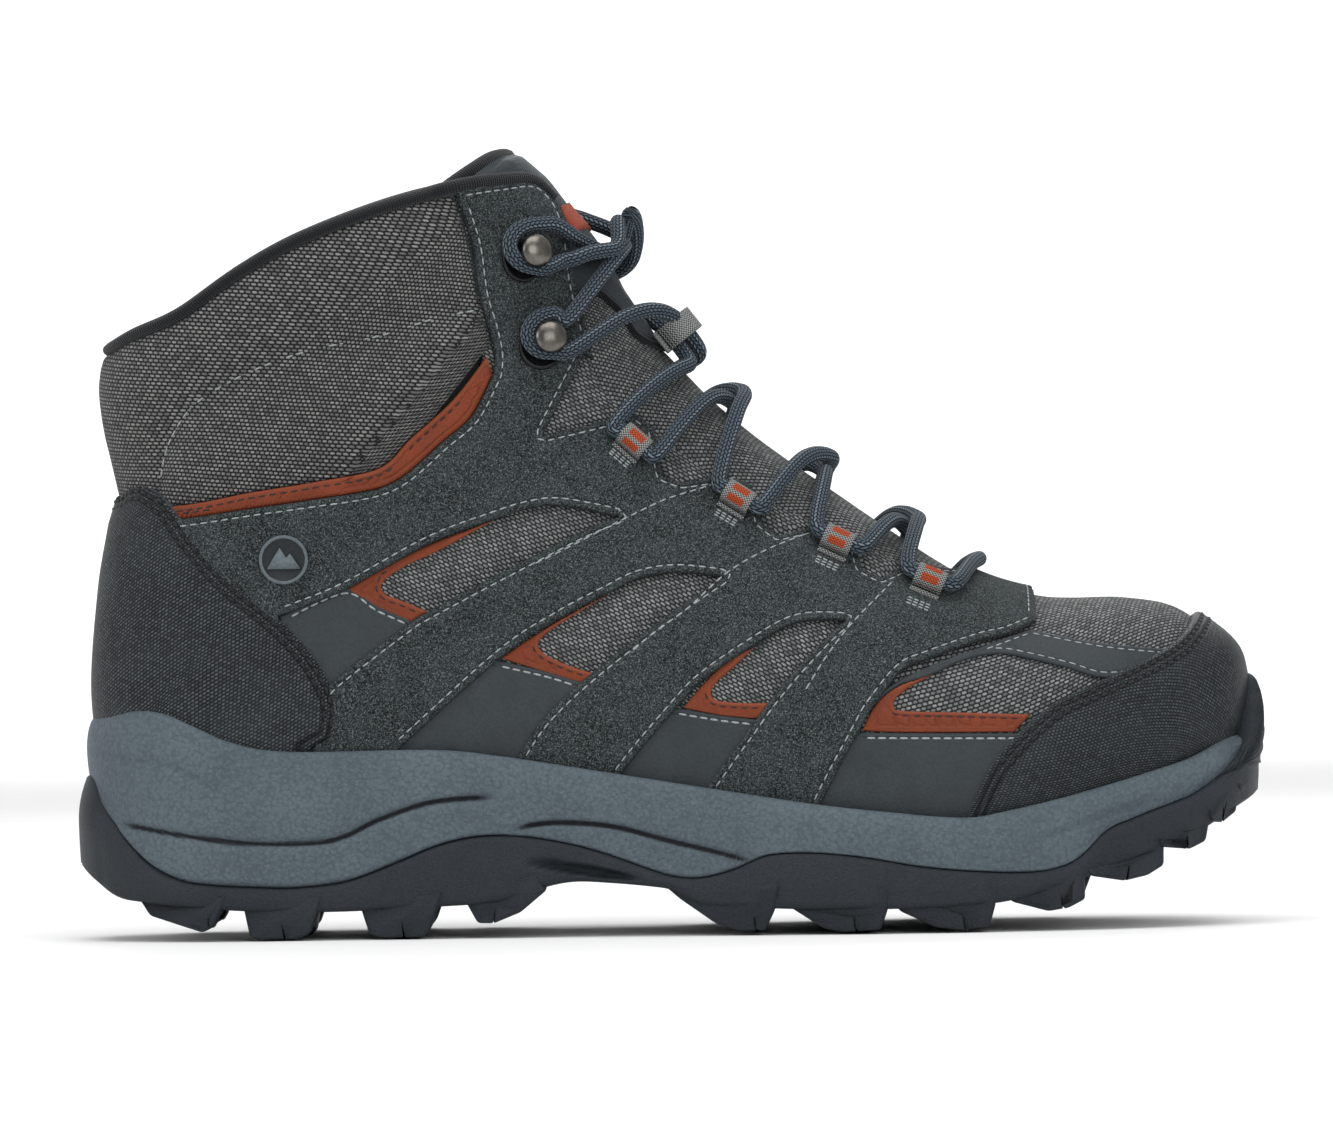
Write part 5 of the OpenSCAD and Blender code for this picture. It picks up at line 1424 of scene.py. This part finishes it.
def outsole_plate(plan, out):
    """The rubber between the side walls, under the midsole."""
    xs = np.linspace(plan[:, 0].min() - 3.0, plan[:, 0].max() + 5.5, 150)
    lo_y, hi_y = half_width_at(xs, plan, out, 5.5)
    ends = np.sqrt(np.clip(1 - (np.abs(xs - xs.mean())/(xs[-1] - xs.mean()))**12, 0.02, 1))
    mid = (lo_y + hi_y)/2
    lo_y, hi_y = mid + (lo_y - mid)*ends, mid + (hi_y - mid)*ends
    z = height_on(TREAD_BASE, xs) + 0.4
    top = np.minimum(np.maximum(z + 2.0, height_on(SOLE_SPLIT, xs) - 2.5), z + 8)
    cols = 25
    grid = [np.column_stack([xs, lo_y + (hi_y - lo_y)*j/(cols - 1), level])
            for level in (z, top) for j in range(cols)]
    return np.concatenate(grid), two_skins(cols, len(xs), flip=True)


def build_outsole():
    plan, out = plan_curve(1.5)
    pieces = [outsole_wall(plan, out), outsole_plate(plan, out)]
    for side in (-1, 1):
        for lug in HEEL_LUGS + FRONT_LUGS:
            toe = max(0.0, min(1.0, (np.mean([p[0] for p in lug]) - 205)/40))
            pieces.append(lug_block(lug, side, plan, out, LUG_INNER, 9.3 + 1.9*toe))
    verts, faces = merged(pieces + [centre_lug(lug) for lug in CENTRE_LUGS])
    obj = make_object("outsole_rubber", verts, faces, verts[:, [0, 2]], PLAIN, outward=True)
    place(obj, SHELL, "outsole_rubber", OUTSOLE, "outsole")


BUMPER_TOP = [(236, 30), (242, 34), (250, 40), (254, 43.5), (255.8, 48), (256.8, 54),
              (257.4, 60), (257.6, 64.6)]
BUMPER_SWELL = A([(30, 8.6), (35, 9.4), (38, 11.2), (42, 11.9), (46, 12.6), (50, 13), (56, 12.8),
                  (60, 12.1), (63.5, 10.8), (65, 9)])


def build_bumper():
    """The rubber that turns up in front of the toe cap."""
    plan, out = plan_curve(1.0)
    front = plan[:, 0] > 232
    plan, out = plan[front], out[front]
    x = (plan + 10.5*out)[:, 0]
    high = height_on(A(BUMPER_TOP), x + 257.6 - x.max())
    low = np.minimum(height_on(SOLE_SPLIT, np.minimum(x, 252)) - 5.0, high - 2.0)
    base, rows = 6.8, 26
    rise = smooth_share((plan[:, 0] - 233)/13)
    profile = []
    for k in range(rows + 1):
        z = low + (high - low)*k/rows
        ridge = 0.4*max(0.0, math.cos(10*math.pi*k/rows))
        profile.append((base + rise*(height_on(BUMPER_SWELL, z) + ridge - base), z))
    profile += [(base + rise*(9.0 - base), high + 0.35),
                (base + rise*(7.6 - base), high - 0.1),
                (base - 1.2, high - 1.2), (base - 1.2, low + 1)]
    verts, faces, uv = sweep(plan, out, profile, hoop_only=True)
    n = len(plan)
    ends = [[k*n for k in range(len(profile))], [k*n + n - 1 for k in range(len(profile))][::-1]]
    obj = make_object("toe_bumper_rubber", verts, faces + ends, uv, PLAIN)
    place(obj, SHELL, "outsole_rubber", OUTSOLE, "outsole")


# --------------------------------------------------------------- tongue, collar, lining
def throat_line(u):
    """How far the tongue's sides run under the quarters."""
    return np.where(u < 8, 0.62, np.where(u > 12, 0.7, 0.62 + 0.02*(u - 8)))


def without_doubles(path, gap=0.05):
    """The path, with any values beside its places, without points on the one before."""
    return path[np.concatenate([[True], np.diff(run_length(path[:, :3])) > gap])]


def smoothed(path, times):
    for _ in range(times):
        path[1:-1] = (path[:-2] + 2*path[1:-1] + path[2:])/4
    return path


def tongue_sheet(name, keep_side, outlines, o_in, o_out, edge_r, puff):
    panel = Panel(keep_side, outlines, (4.75, 18), spacing=2.6)
    obj = panel.mesh(name, o_in, o_out, edge_r, lambda q: puff*soft(q.dist, 10))
    puff_up(obj, edge_distance(obj) < 3.0, 2.0, 0.8)
    return obj


def tongue_binding_path():
    """Over the tongue's rounded top from one side to the other."""
    rolls = trace(TONGUE_TOP - A([0, 0.6]), False, 4.75, 17.99)
    left = [r for r in rolls if r[:, 1].mean() < 1][0]
    right = [r for r in rolls if r[:, 1].mean() >= 1][0]
    rising = left[0, 1] < left[-1, 1]
    both = np.concatenate([left, right[::-1]] if rising else [left[::-1], right])
    return resample(without_doubles(off(both[:, 0], both[:, 1], np.full(len(both), -3.6))), 1.6)


def build_tongue():
    side = np.linspace(4.75, 18, 80)
    edge_line = point(side, throat_line(side))[:, [0, 2]]
    whole = area(edge_line[::-1], [tuple(off(4.75, 1.0, 14.0)[[0, 2]])], [(FAR, FAR), (30, FAR)])
    upper = area(TONGUE_PANEL, [(FAR, 150), (FAR, FAR), (0, FAR), (0, 160)])

    def tongue(x, z):
        return (z < height_on(TONGUE_TOP, x)) & (x > 20) & inside(whole, x, z)
    obj = tongue_sheet("tongue_mesh_cloth", lambda x, z: tongue(x, z) & ~inside(upper, x, z),
                       [edge_line, TONGUE_PANEL], -2.1, -1.2, 0.3, 0.8)
    place(obj, TONGUE, "mesh_fabric", WINDOW_MESH, "tongue_mesh")
    obj = tongue_sheet("tongue_panel_leather", lambda x, z: tongue(x, z) & inside(upper, x, z),
                       [edge_line, TONGUE_PANEL, TONGUE_TOP - A([0, 1])], -2.1, -1.0, 0.6, 1.6)
    place(obj, TONGUE, "smooth_leather", SMOOTH, "tongue_panel")
    obj = Panel(tongue, [edge_line, TONGUE_TOP], (4.75, 18), spacing=3.2).mesh(
        "tongue_padding", -7.3, -2.15, 2.6)
    place(obj, TONGUE, "lining_fabric", LINING, "tongue_foam", "tongue_lining")
    paths = [resample(off(r[:, 0], r[:, 1], np.full(len(r), -0.3)), 1.5)
             for r in trace(TONGUE_PANEL, False, 4.75, 18) if len(r) > 4]
    ups = [np.tile([0.5, 0.0, 0.86], (len(p), 1)) for p in paths]
    place(tube_object("tongue_piping", paths, ups, 0.9, 8), TONGUE, "binding_knit", BINDING)
    path = tongue_binding_path()
    obj = tube_object("tongue_top_binding", [path], [np.tile([0.6, 0, 0.8], (len(path), 1))],
                      2.3, 12)
    place(obj, TONGUE, "binding_knit", BINDING, "tongue_binding")
    label = area([(74.4, 190.6), (77.6, 182.4), (92, 187), (92, 200)])
    obj = Panel(lambda x, z: inside(label, x, z), [label], (8, 18), spacing=2.0).mesh(
        "tongue_label_weave", 0.1, 1.2, 0.5)
    place(obj, TONGUE, "label_fabric", LABEL, "tongue_label")


def collar_line():
    """The top edge of the collar from the medial eyestay round the heel to the lateral."""
    lateral = [r for r in trace(COLLAR_TOP, True, 8, 18) if r[:, 1].mean() > 0][0]
    if lateral[0, 1] > lateral[-1, 1]:
        lateral = lateral[::-1]
    return np.concatenate([lateral[::-1]*A([1, -1]), lateral])


def build_collar_binding():
    """A flattened roll along the collar's top edge, thinner towards the eyestays."""
    u, v = collar_line().T
    ahead = np.clip((point(u, v)[:, 0] - 42)/6, 0, 1)
    path = off(u, v, -3.4 + 3.9*ahead)
    path[:, 2] += 0.4 + 0.4*ahead
    path = resample(smoothed(without_doubles(path), 4), 1.5)
    n, sides = len(path), 18
    tangent = unit(np.gradient(path, axis=0))
    out_dir = unit(np.cross(tangent, [0, 0, 1.0]))
    turn = np.sign(((path - A([20, 0, 0]))[:, :2]*out_dir[:, :2]).sum(1))[:, None]
    out_dir = out_dir*np.where(turn == 0, 1, turn)
    up = unit(np.cross(out_dir, tangent))
    up = up*np.sign(up[:, 2:3])
    wide = 4.9 - 2.5*np.clip((path[:, 0] - 44)/6, 0, 1)
    angle = 2*np.pi*np.arange(sides + 1)/sides
    across = np.copysign(np.abs(np.cos(angle))**0.8, np.cos(angle))[:, None]
    verts = (path[:, None] + (wide[:, None, None]*across)*out_dir[:, None]
             + 2.1*np.sin(angle)[:, None]*up[:, None])
    round_it = 12.0*np.arange(sides + 1)/sides
    uv = np.stack(np.broadcast_arrays(run_length(path)[:, None], round_it), -1)
    faces = grid_faces(n, sides + 1) + end_faces(n, sides + 1, sides, flip=True)
    obj = make_object("collar_top_binding", verts.reshape(-1, 3), faces, uv.reshape(-1, 2),
                      weld=0.002)
    place(obj, SHELL, "binding_knit", BINDING, "collar_binding")


def build_collar_padding():
    floor = A([(-60, 104), (-12, 108), (10, 116), (20, 130), (28, 150), (40, 154), (40, 200)])

    def lined(x, z):
        low = np.interp(x, [-60, -12, 10, 20, 28, 60], [104, 108, 116, 130, 150, 160])
        return (z < height_on(COLLAR_TOP, x) - 1.6) & (z > low) & (x < 40)
    pad = Panel(lined, [COLLAR_TOP - A([0, 1.6]), resample(floor, 1.0)], (11, 18), wrap=True,
                spacing=3.0, v_reach=0.95)
    rim = 1 - np.minimum(1, pad.dist/3.0)
    outer = -1.2 - rim
    inner = outer + (-8.4 - 2.2*soft(pad.dist, 12) - outer)*np.sqrt(np.clip(1 - rim**2, 0.05, 1))
    obj = pad.sheet("collar_inner_padding", outer, inner, [0*pad.dist, pad.dist])
    puff_up(obj, edge_distance(obj) < 2.5, 3.0, 1.6)
    place(obj, SHELL, "lining_fabric", LINING, "collar_lining", "collar_foam")


def build_lining():
    """The bootie's cloth on both sides, as seen through the opening."""
    us = np.linspace(0.02, 16.5, 110)
    limit = np.where(us > 4.4, np.minimum(throat_line(us) - 0.03, 1.0), 1.0)
    cols = 24
    u = np.repeat(us[:, None], cols, 1)
    pieces = []
    for side in (-1, 1):
        v = limit[:, None]*np.linspace(0, 1, cols)
        v = v if side < 0 else 2 - v
        verts = np.concatenate([off(u, v, o + 0*v).reshape(-1, 3) for o in (-3.2, -4.0)])
        faces = two_skins(len(us), cols)
        flat = to_map(np.stack([u.ravel(), v.ravel()], -1), False)
        pieces.append((verts, faces if side < 0 else [face[::-1] for face in faces],
                       np.concatenate([flat, flat])))
    obj = make_object("bootie_lining_cloth", *merged(pieces), {"edge": 0}, weld=0.02)
    place(obj, SHELL, "lining_fabric", LINING, "bootie_lining")


def build_footbed():
    """A cupped insole: rings from the middle to the edge, above and below."""
    plan, out = plan_curve(3.0)
    shares = [0.0, 0.12, 0.3, 0.55, 0.8, 0.92, 0.98, 1.0]
    edge = plan - 6.2*out
    core = np.column_stack([np.clip(edge[:, 0], 0, 190), np.full(len(edge), 2.0)])
    base = along(BASE, np.linspace(0, 12, 200))
    base = base[np.argsort(base[:, 0])]
    layers = []
    for top in (True, False):
        for s in shares:
            p = core + (edge - core)*s
            cup = 2.2*s**4
            rise = 4.2 + cup if top else 0.3 + 0.9*cup
            if top and s == 1.0:
                rise -= 1.0
            layers.append(np.column_stack([p, height_on(base, p[:, 0]) - 0.3 + rise]))
    n, k = len(edge), len(shares)
    upper = grid_faces(k, n, loop=True, flip=True)
    rim = [((k - 1)*n + i, (2*k - 1)*n + i, (2*k - 1)*n + (i + 1) % n, (k - 1)*n + (i + 1) % n)
           for i in range(n)]
    lower = [tuple(j + k*n for j in face[::-1]) for face in upper]
    verts = np.concatenate(layers)
    obj = make_object("footbed_cushion", verts, upper + lower + rim, verts[:, :2], weld=0.4)
    place(obj, "footbed_body", "footbed_foam", FOOTBED, "footbed")


# ------------------------------------------------------------------------------ lacing
# Each loop and hook: its place in side view, and a point in the direction that it faces
LOOPS = [((92.5, 126.6), (100, 120)), ((119.5, 110.7), (127, 106)),
         ((145.2, 98.3), (153, 94.5)), ((168.4, 87.3), (176, 84))]
HOOKS = [((64.4, 177.2), (74, 179)), ((69.4, 154), (79, 156))]
LACE_D, LOOP_W, DISC_D, DOME_D, POST_D, DISC_T = 4.1, 8.0, 11.4, 8.8, 2.6, 0.8
SUEDE_TOP = SUEDE_O[1]
LACE_LOW = -1.2 + LACE_D/2 + 0.3 + 0.7
LACE_HIGH = LACE_LOW + LACE_D
TUNNEL_H = LACE_D + 0.5
LOOP_LEVEL = SUEDE_TOP + 0.25 + 0.8 + TUNNEL_H/2
HOOK_LEVEL = SUEDE_TOP + 0.4 + DISC_T + LACE_D/2 + 0.25
TAIL_LEVEL = SUEDE_TOP + LACE_D/2 + 0.3
KEEPER_U, KEEPER_RISE = 8.2, 1.2


def on_side(p, o):
    """A side-view point as (u, v) and its height o over the last."""
    return (*at(*p), o)


def beside(spot, ahead, across):
    """The side-view point so far ahead of a loop or hook and across its direction."""
    a, b = A(spot[0], float), A(spot[1], float)
    d = (b - a)/np.linalg.norm(b - a)
    return a + ahead*d + across*A([-d[1], d[0]])


def through_loop(i):
    reach = LOOP_W/2
    return [on_side(beside(LOOPS[i], ahead, across), LOOP_LEVEL)
            for ahead, across in ((-reach - 3.0, 1.2), (-reach - 0.4, 0), (0, 0),
                                  (reach + 0.4, 0), (reach + 3.0, 1.2))]


def round_hook(i):
    spots = [(7.6, 5.4), (3.6, 6.4), (-1.0, 6.5), (-4.2, 4.2), (-4.7, 0.8), (-2.7, -2.3),
             (1.5, -3.6), (7.6, -3.5)]
    return [on_side(beside(HOOKS[i], *spot), HOOK_LEVEL) for spot in spots]


def other(points):
    """The same points on the medial side."""
    return [(u, 2 - v, o) for u, v, o in points]


def over_ridge(a, u, b, o):
    """From a over the tongue's middle line at u and height o to b."""
    first = ((a[0] + u)/2, (a[1] + 1)/2, (a[2] + o)/2 + 0.9)
    last = ((b[0] + u)/2, (b[1] + 1)/2, (b[2] + o)/2 + 0.9)
    return [first, (u, 1.0, o), last]


def half_lace(o, tail):
    """One half of the lace, from its tail down to the lowest bar."""
    loops = [through_loop(i) if i % 2 == 0 else other(through_loop(i)) for i in range(4)]
    line = tail + [(10.3, 1.0, o + 5.9), on_side((84, 176.4), 8.2), on_side((76, 175.2), 7.8)]
    line += round_hook(0)[::-1] + [on_side((82, 178), 3.4), (9.75, 1.0, o)]
    line += other(round_hook(1))
    line += [(KEEPER_U + k*0.36, 1 + k*0.07, o + KEEPER_RISE) for k in (1, 0, -1)]
    line += loops[0]
    for i, u in enumerate((7.25, 6.3, 5.5)):
        line += over_ridge(loops[i][4], u, loops[i + 1][0], o) + loops[i + 1]
    return line


def lace_controls():
    first = other([on_side((44, 158), TAIL_LEVEL), on_side((48, 172), TAIL_LEVEL),
                   on_side((57, 184), TAIL_LEVEL), on_side((72, 187), 7), on_side((83, 179), 12)])
    second = [on_side((48, 148), TAIL_LEVEL), on_side((54, 158), TAIL_LEVEL),
              on_side((62, 165), TAIL_LEVEL), on_side((74, 168), 7.5), on_side((85, 172), 13)]
    bar = [(4.95, 1.12, TAIL_LEVEL + 0.2), (4.85, 1.0, TAIL_LEVEL + 0.4),
           (4.95, 0.88, TAIL_LEVEL + 0.2)]
    return half_lace(LACE_LOW, first) + bar + other(half_lace(LACE_HIGH, second))[::-1]


def lace_path():
    """The lace's smooth middle line and its outward directions."""
    controls = A(lace_controls(), float)
    fine = [cubic(*four, k/8) for four in windows_of_four(controls) for k in range(8)]
    u, v, o = A(fine + [controls[-1]]).T
    both = np.concatenate([off(u, v, o), normal(u, v)], axis=1)
    both = resample(without_doubles(both, 0.02), 0.8)
    return smoothed(both[:, :3], 3), unit(both[:, 3:])


def lace_runs(y, aglet):
    """The stretches of the lace on each side of the middle, as (start, end)."""
    runs = {-1: [], 1: []}
    start, last = aglet, len(y) - aglet - 1
    for i in range(aglet + 1, last + 1):
        if (y[i] < 0) != (y[min(start + 1, i - 1)] < 0) or i == last:
            runs[-1 if y[(start + i)//2] < 0 else 1].append((start, i))
            start = i
    return runs


def build_lace():
    path, ups = lace_path()
    aglet = 16
    y = path[:, 1] - along(CENTRE, np.full(len(path), 8.0))
    runs = lace_runs(y, aglet)
    for side, name in ((-1, "lace_lateral"), (1, "lace_medial")):
        obj = make_object(name, *merged([tube(path[a:b + 1], ups[a:b + 1], LACE_D/2, 16, a*0.8)
                                         for a, b in runs[side]]), weld=0.002)
        obj.data.materials.append(LACE)
        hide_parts("lace")
        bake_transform(obj)
    obj = tube_object("lace_tips", [path[:aglet + 1], path[-aglet - 1:]],
                      [ups[:aglet + 1], ups[-aglet - 1:]], LACE_D/2 - 0.25, 12)
    place(obj, SHELL, "aglet_plastic", ENAMEL, "aglets")


def frame_on(p, towards, medial, o):
    """Position and axes on the boot: x towards a second point, z outwards."""
    u, v = at(*p)
    u2, v2 = at(*towards)
    if medial:
        v, v2 = 2 - v, 2 - v2
    n = normal(u, v)
    d = point(u2, v2) - point(u, v)
    t = unit(d - (d @ n)*n)
    return off(u, v, np.asarray(o)), t, np.cross(n, t), n


def lift(local, axes):
    """Points from a local frame, which is a spot and its three axes, to the boot."""
    spot, x, y, z = axes
    return spot + local[:, :1]*x + local[:, 1:2]*y + local[:, 2:3]*z


def arch(width, inner_w, height, wall):
    """A webbing arch on a flat foot: a rounded section swept along x."""
    reach = inner_w/2 + wall
    foot = [(reach + 0.8, 0.3), (reach + 0.3, 0.4), (reach - 0.1, 0.9)]
    angles = np.pi*(1 - np.arange(9)/8)
    crown = [(math.cos(a)*reach, wall + (height + wall*0.6)*math.sin(a)**0.62) for a in angles]
    prof = A([(-y, z) for y, z in foot] + crown + foot[::-1])
    seg = unit(np.gradient(prof, axis=0))
    low = prof - wall*np.stack([-seg[:, 1], seg[:, 0]], -1)
    stations = [-0.5, -0.46, -0.3, -0.1, 0.1, 0.3, 0.46, 0.5]
    s = run_length(prof)
    verts, uv = [], []
    for skin in (1, -1):
        for f in stations:
            thin = skin*(0.5 if abs(f) == 0.5 else 1.0)
            q = low + (prof - low)*(0.5 + 0.5*thin)
            verts.append(np.column_stack([np.full(len(s), f*width), q]))
            uv.append(np.stack([np.full(len(s), (f + 0.5)*width), s], -1))
    core = (s > s[-1]*0.2) & (s < s[-1]*0.8)
    return (np.concatenate(verts), two_skins(len(stations), len(s), flip=True),
            np.concatenate(uv), np.tile(core, 2*len(stations)).astype(float))


def webbing_object(name, pieces):
    verts, faces, uv, core = merged(pieces)
    return make_object(name, verts, faces, uv, {"core": core})


def build_loops():
    for medial, label in ((False, "lateral"), (True, "medial")):
        pieces = []
        for spot, towards in LOOPS:
            verts, *rest = arch(LOOP_W, LACE_D + 0.9, TUNNEL_H, 0.75)
            here = frame_on(spot, towards, medial, SUEDE_TOP + 0.1)
            pieces.append((lift(verts, here), *rest))
        obj = webbing_object(f"lace_loops_webbing_{label}", pieces)
        place(obj, SHELL, "webbing", WEBBING, f"lace_loops_{label}")
    tacks = [A([at(*beside(spot, ahead, across)) for ahead in np.linspace(-3.6, 3.6, 12)])
             for spot in LOOPS for across in (-4.1, -4.8, -5.5)]
    tacks += [line*A([1, -1]) + A([0, 2]) for line in tacks]
    stitches("loop_bartacks", tacks, SUEDE_TOP, "webbing", THREAD, dash=1.3, gap=0.35, r=0.3)


def build_keeper():
    """The webbing on the tongue's middle that the lace runs under."""
    verts, faces, uv, core = arch(6.5, 9.5, LACE_HIGH + KEEPER_RISE + LACE_D/2 + 0.9, 0.8)
    n = normal(KEEPER_U, 1.0)
    t = unit(A([n[2], 0, -n[0]]))
    here = off(KEEPER_U, 1.0, np.asarray(-0.2)), t, np.cross(n, t), n
    obj = webbing_object("tongue_keeper_webbing", [(lift(verts, here), faces, uv, 0*core)])
    place(obj, TONGUE, "webbing", WEBBING, "tongue_keeper")


def turned(profile, axes, sides=48):
    """A turned solid from an (r, z) profile that starts and ends on the axis."""
    verts = [(r*math.cos(2*math.pi*j/sides), r*math.sin(2*math.pi*j/sides), z)
             for r, z in profile for j in range(sides)]
    return lift(A(verts), axes), grid_faces(len(profile), sides, loop=True)


def disc_profile():
    r = DISC_D/2
    return [(0.01, 0), (r - 0.3, 0), (r, 0.3), (r, 0.8), (r - 0.5, 1.15), (r - 1.0, 0.95),
            (r - 1.4, 0.8), (1.2, 0.8), (0.01, 0.8)]


def dome_profile():
    z, r, post = 0.4 + DISC_T + LACE_D + 0.75, DOME_D/2, POST_D/2
    foot = [(0.01, 0.5), (post, 0.5), (post, z - 0.5), (post + 0.5, z), (r - 0.5, z),
            (r - 0.1, z + 0.3), (r, z + 0.7)]
    crown = [(r*math.cos(a), z + 0.8 + 2.2*math.sin(a)) for a in np.radians(np.arange(8, 90, 9))]
    return foot + crown + [(0.01, z + 3.0)]


def build_hooks():
    """Domed metal hooks on dark discs, which sit a little behind the posts."""
    for part, profile, back, slot, material, node in (
            ("discs", disc_profile(), (1.6, 1.3), "disc_enamel", ENAMEL, "hook_backings"),
            ("domes", dome_profile(), (0, 0), "hook_metal", METAL, "lace_hooks")):
        pieces = []
        for medial in (False, True):
            for hook in HOOKS:
                spot, x, y, z = frame_on(*hook, medial, SUEDE_TOP)
                pieces.append(turned(profile, (spot - back[0]*x - back[1]*y, x, y, z)))
        verts, faces = merged(pieces)
        obj = make_object(f"hook_{part}", verts, faces, None, PLAIN, weld=0.03)
        place(obj, SHELL, slot, material, node)


def build_badge():
    """A round rubber badge with a plain ring and a generic mountain outline."""
    here = frame_on((1.6, 98.7), (12, 98.7), False, SUEDE_TOP - 0.1)
    r = 6.5
    disc = [(0.01, 0), (r, 0), (r, 0.7), (r - 0.25, 1.0), (r - 0.9, 1.0), (r - 1.1, 0.7),
            (0.01, 0.7)]
    obj = make_object("badge_disc", *turned(disc, here, 64), None, PLAIN, weld=0.03)
    place(obj, SHELL, "badge_rubber", BADGE_DARK, "badge")
    p = rounded([(-4.4, -2.4), (-1.0, 3.2), (0.7, 0.5), (1.7, 1.7), (4.4, -2.4)], 0.35, 3)
    verts = np.concatenate([np.column_stack([p, np.full(len(p), z)]) for z in (0.6, 1.15)])
    peaks = lift(verts, here), grid_faces(2, len(p), loop=True) + end_faces(2, len(p), len(p))
    rim = [(r - 1.0, 0.6), (r - 0.9, 1.12), (r - 0.2, 1.12), (r, 0.6), (r - 1.0, 0.6)]
    verts, faces = merged([peaks, turned(rim, here, 64)])
    obj = make_object("badge_relief", verts, faces, None, PLAIN, weld=0.01)
    place(obj, SHELL, "badge_rubber", BADGE)


for build in (build_vamp, build_quarter, build_collar_panel, build_mudguard, build_vamp_strap,
              build_accents, build_suede, build_covers, build_midsole, build_outsole,
              build_bumper, build_tongue, build_collar_binding, build_collar_padding,
              build_lining, build_footbed, build_lace, build_loops, build_keeper, build_hooks,
              build_badge):
    build()
for node, material in (("shank", PLASTIC), ("insole_board", BOARD), ("heel_counter", PLASTIC),
                       ("toe_puff", PLASTIC), ("tongue_gussets", WINDOW_MESH)):
    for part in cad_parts[node].material_slots:
        part.material = material

# --------------------------------------------------------------------- floor and camera
# The camera's distance and lens give the size that the boot has in the frame
VIEW_W, VIEW_DISTANCE, VIEW_ROLL = 348.7, 2600.0, 0.915
VIEW_CENTRE = A([101.3, -25.0, 95.8])


def add_object(name, data):
    obj = bpy.data.objects.new(name, data)
    bpy.context.scene.collection.objects.link(obj)
    return obj


def build_floor():
    """A pale floor that curves up into a backdrop, in metres."""
    rows, flat, depth, bend = 25, 0.6, 3.5, 1.5
    verts = []
    for t in np.linspace(0, 1, rows):
        y, z = -depth + 2*depth*t/flat, 0.0
        if t >= flat:
            a = (t - flat)/(1 - flat)*math.pi/2
            y, z = depth + bend*math.sin(a), bend*(1 - math.cos(a))
        verts += [(x/MM, y/MM, z/MM - 0.5) for x in (-4, 4)]
    floor = make_object("floor", verts, grid_faces(rows, 2))
    s = Shader("studio_floor")
    n = s.noise(s.place(), 40, 3)
    floor.data.materials.append(s.surface(s.mix(n, srgb(238, 238, 238), srgb(243, 243, 243)),
                                          0.7, spec=0.2))


def build_lights():
    middle = (0.1, 0, 0.1)
    for name, spot, aim, size, power in (
            ("top", (0.15, -0.35, 1.5), middle, (1.5, 1.1), 15),
            ("front", (0.6, -1.6, 0.7), middle, (1.2, 0.9), 9),
            ("left", (-1.4, -0.7, 0.8), middle, (0.8, 0.8), 6),
            ("back", (0.2, 1.3, 1.1), middle, (1.2, 0.8), 8),
            ("backdrop", (0.1, 2.4, 1.7), (0.1, 4.6, 0.5), (4.0, 0.8), 75)):
        data = bpy.data.lights.new(name, "AREA")
        data.shape = "RECTANGLE"
        data.size, data.size_y = size
        data.energy = power
        lamp = add_object(name, data)
        lamp.location = spot
        lamp.rotation_mode = "QUATERNION"
        lamp.rotation_quaternion = (Vector(aim) - Vector(spot)).to_track_quat("-Z", "Y")
    world = bpy.data.worlds.new("studio")
    world.use_nodes = True
    world.node_tree.nodes["Background"].inputs[0].default_value = (1, 1, 1, 1)
    world.node_tree.nodes["Background"].inputs[1].default_value = 0.55
    bpy.context.scene.world = world


def build_camera():
    """The photo's view: level, from far away, with the photo's small roll."""
    data = bpy.data.cameras.new("camera")
    data.sensor_width = 36.0
    data.lens = 36.0*VIEW_DISTANCE/VIEW_W
    data.clip_end = 50
    cam = add_object("camera", data)
    cam.location = (VIEW_CENTRE - A([0, VIEW_DISTANCE, 0]))*MM
    cam.rotation_mode = "XYZ"
    cam.rotation_euler = (math.pi/2, math.radians(VIEW_ROLL), 0)
    bpy.context.scene.camera = cam
    bpy.context.scene.view_settings.view_transform = "Standard"


build_floor()
build_lights()
build_camera()
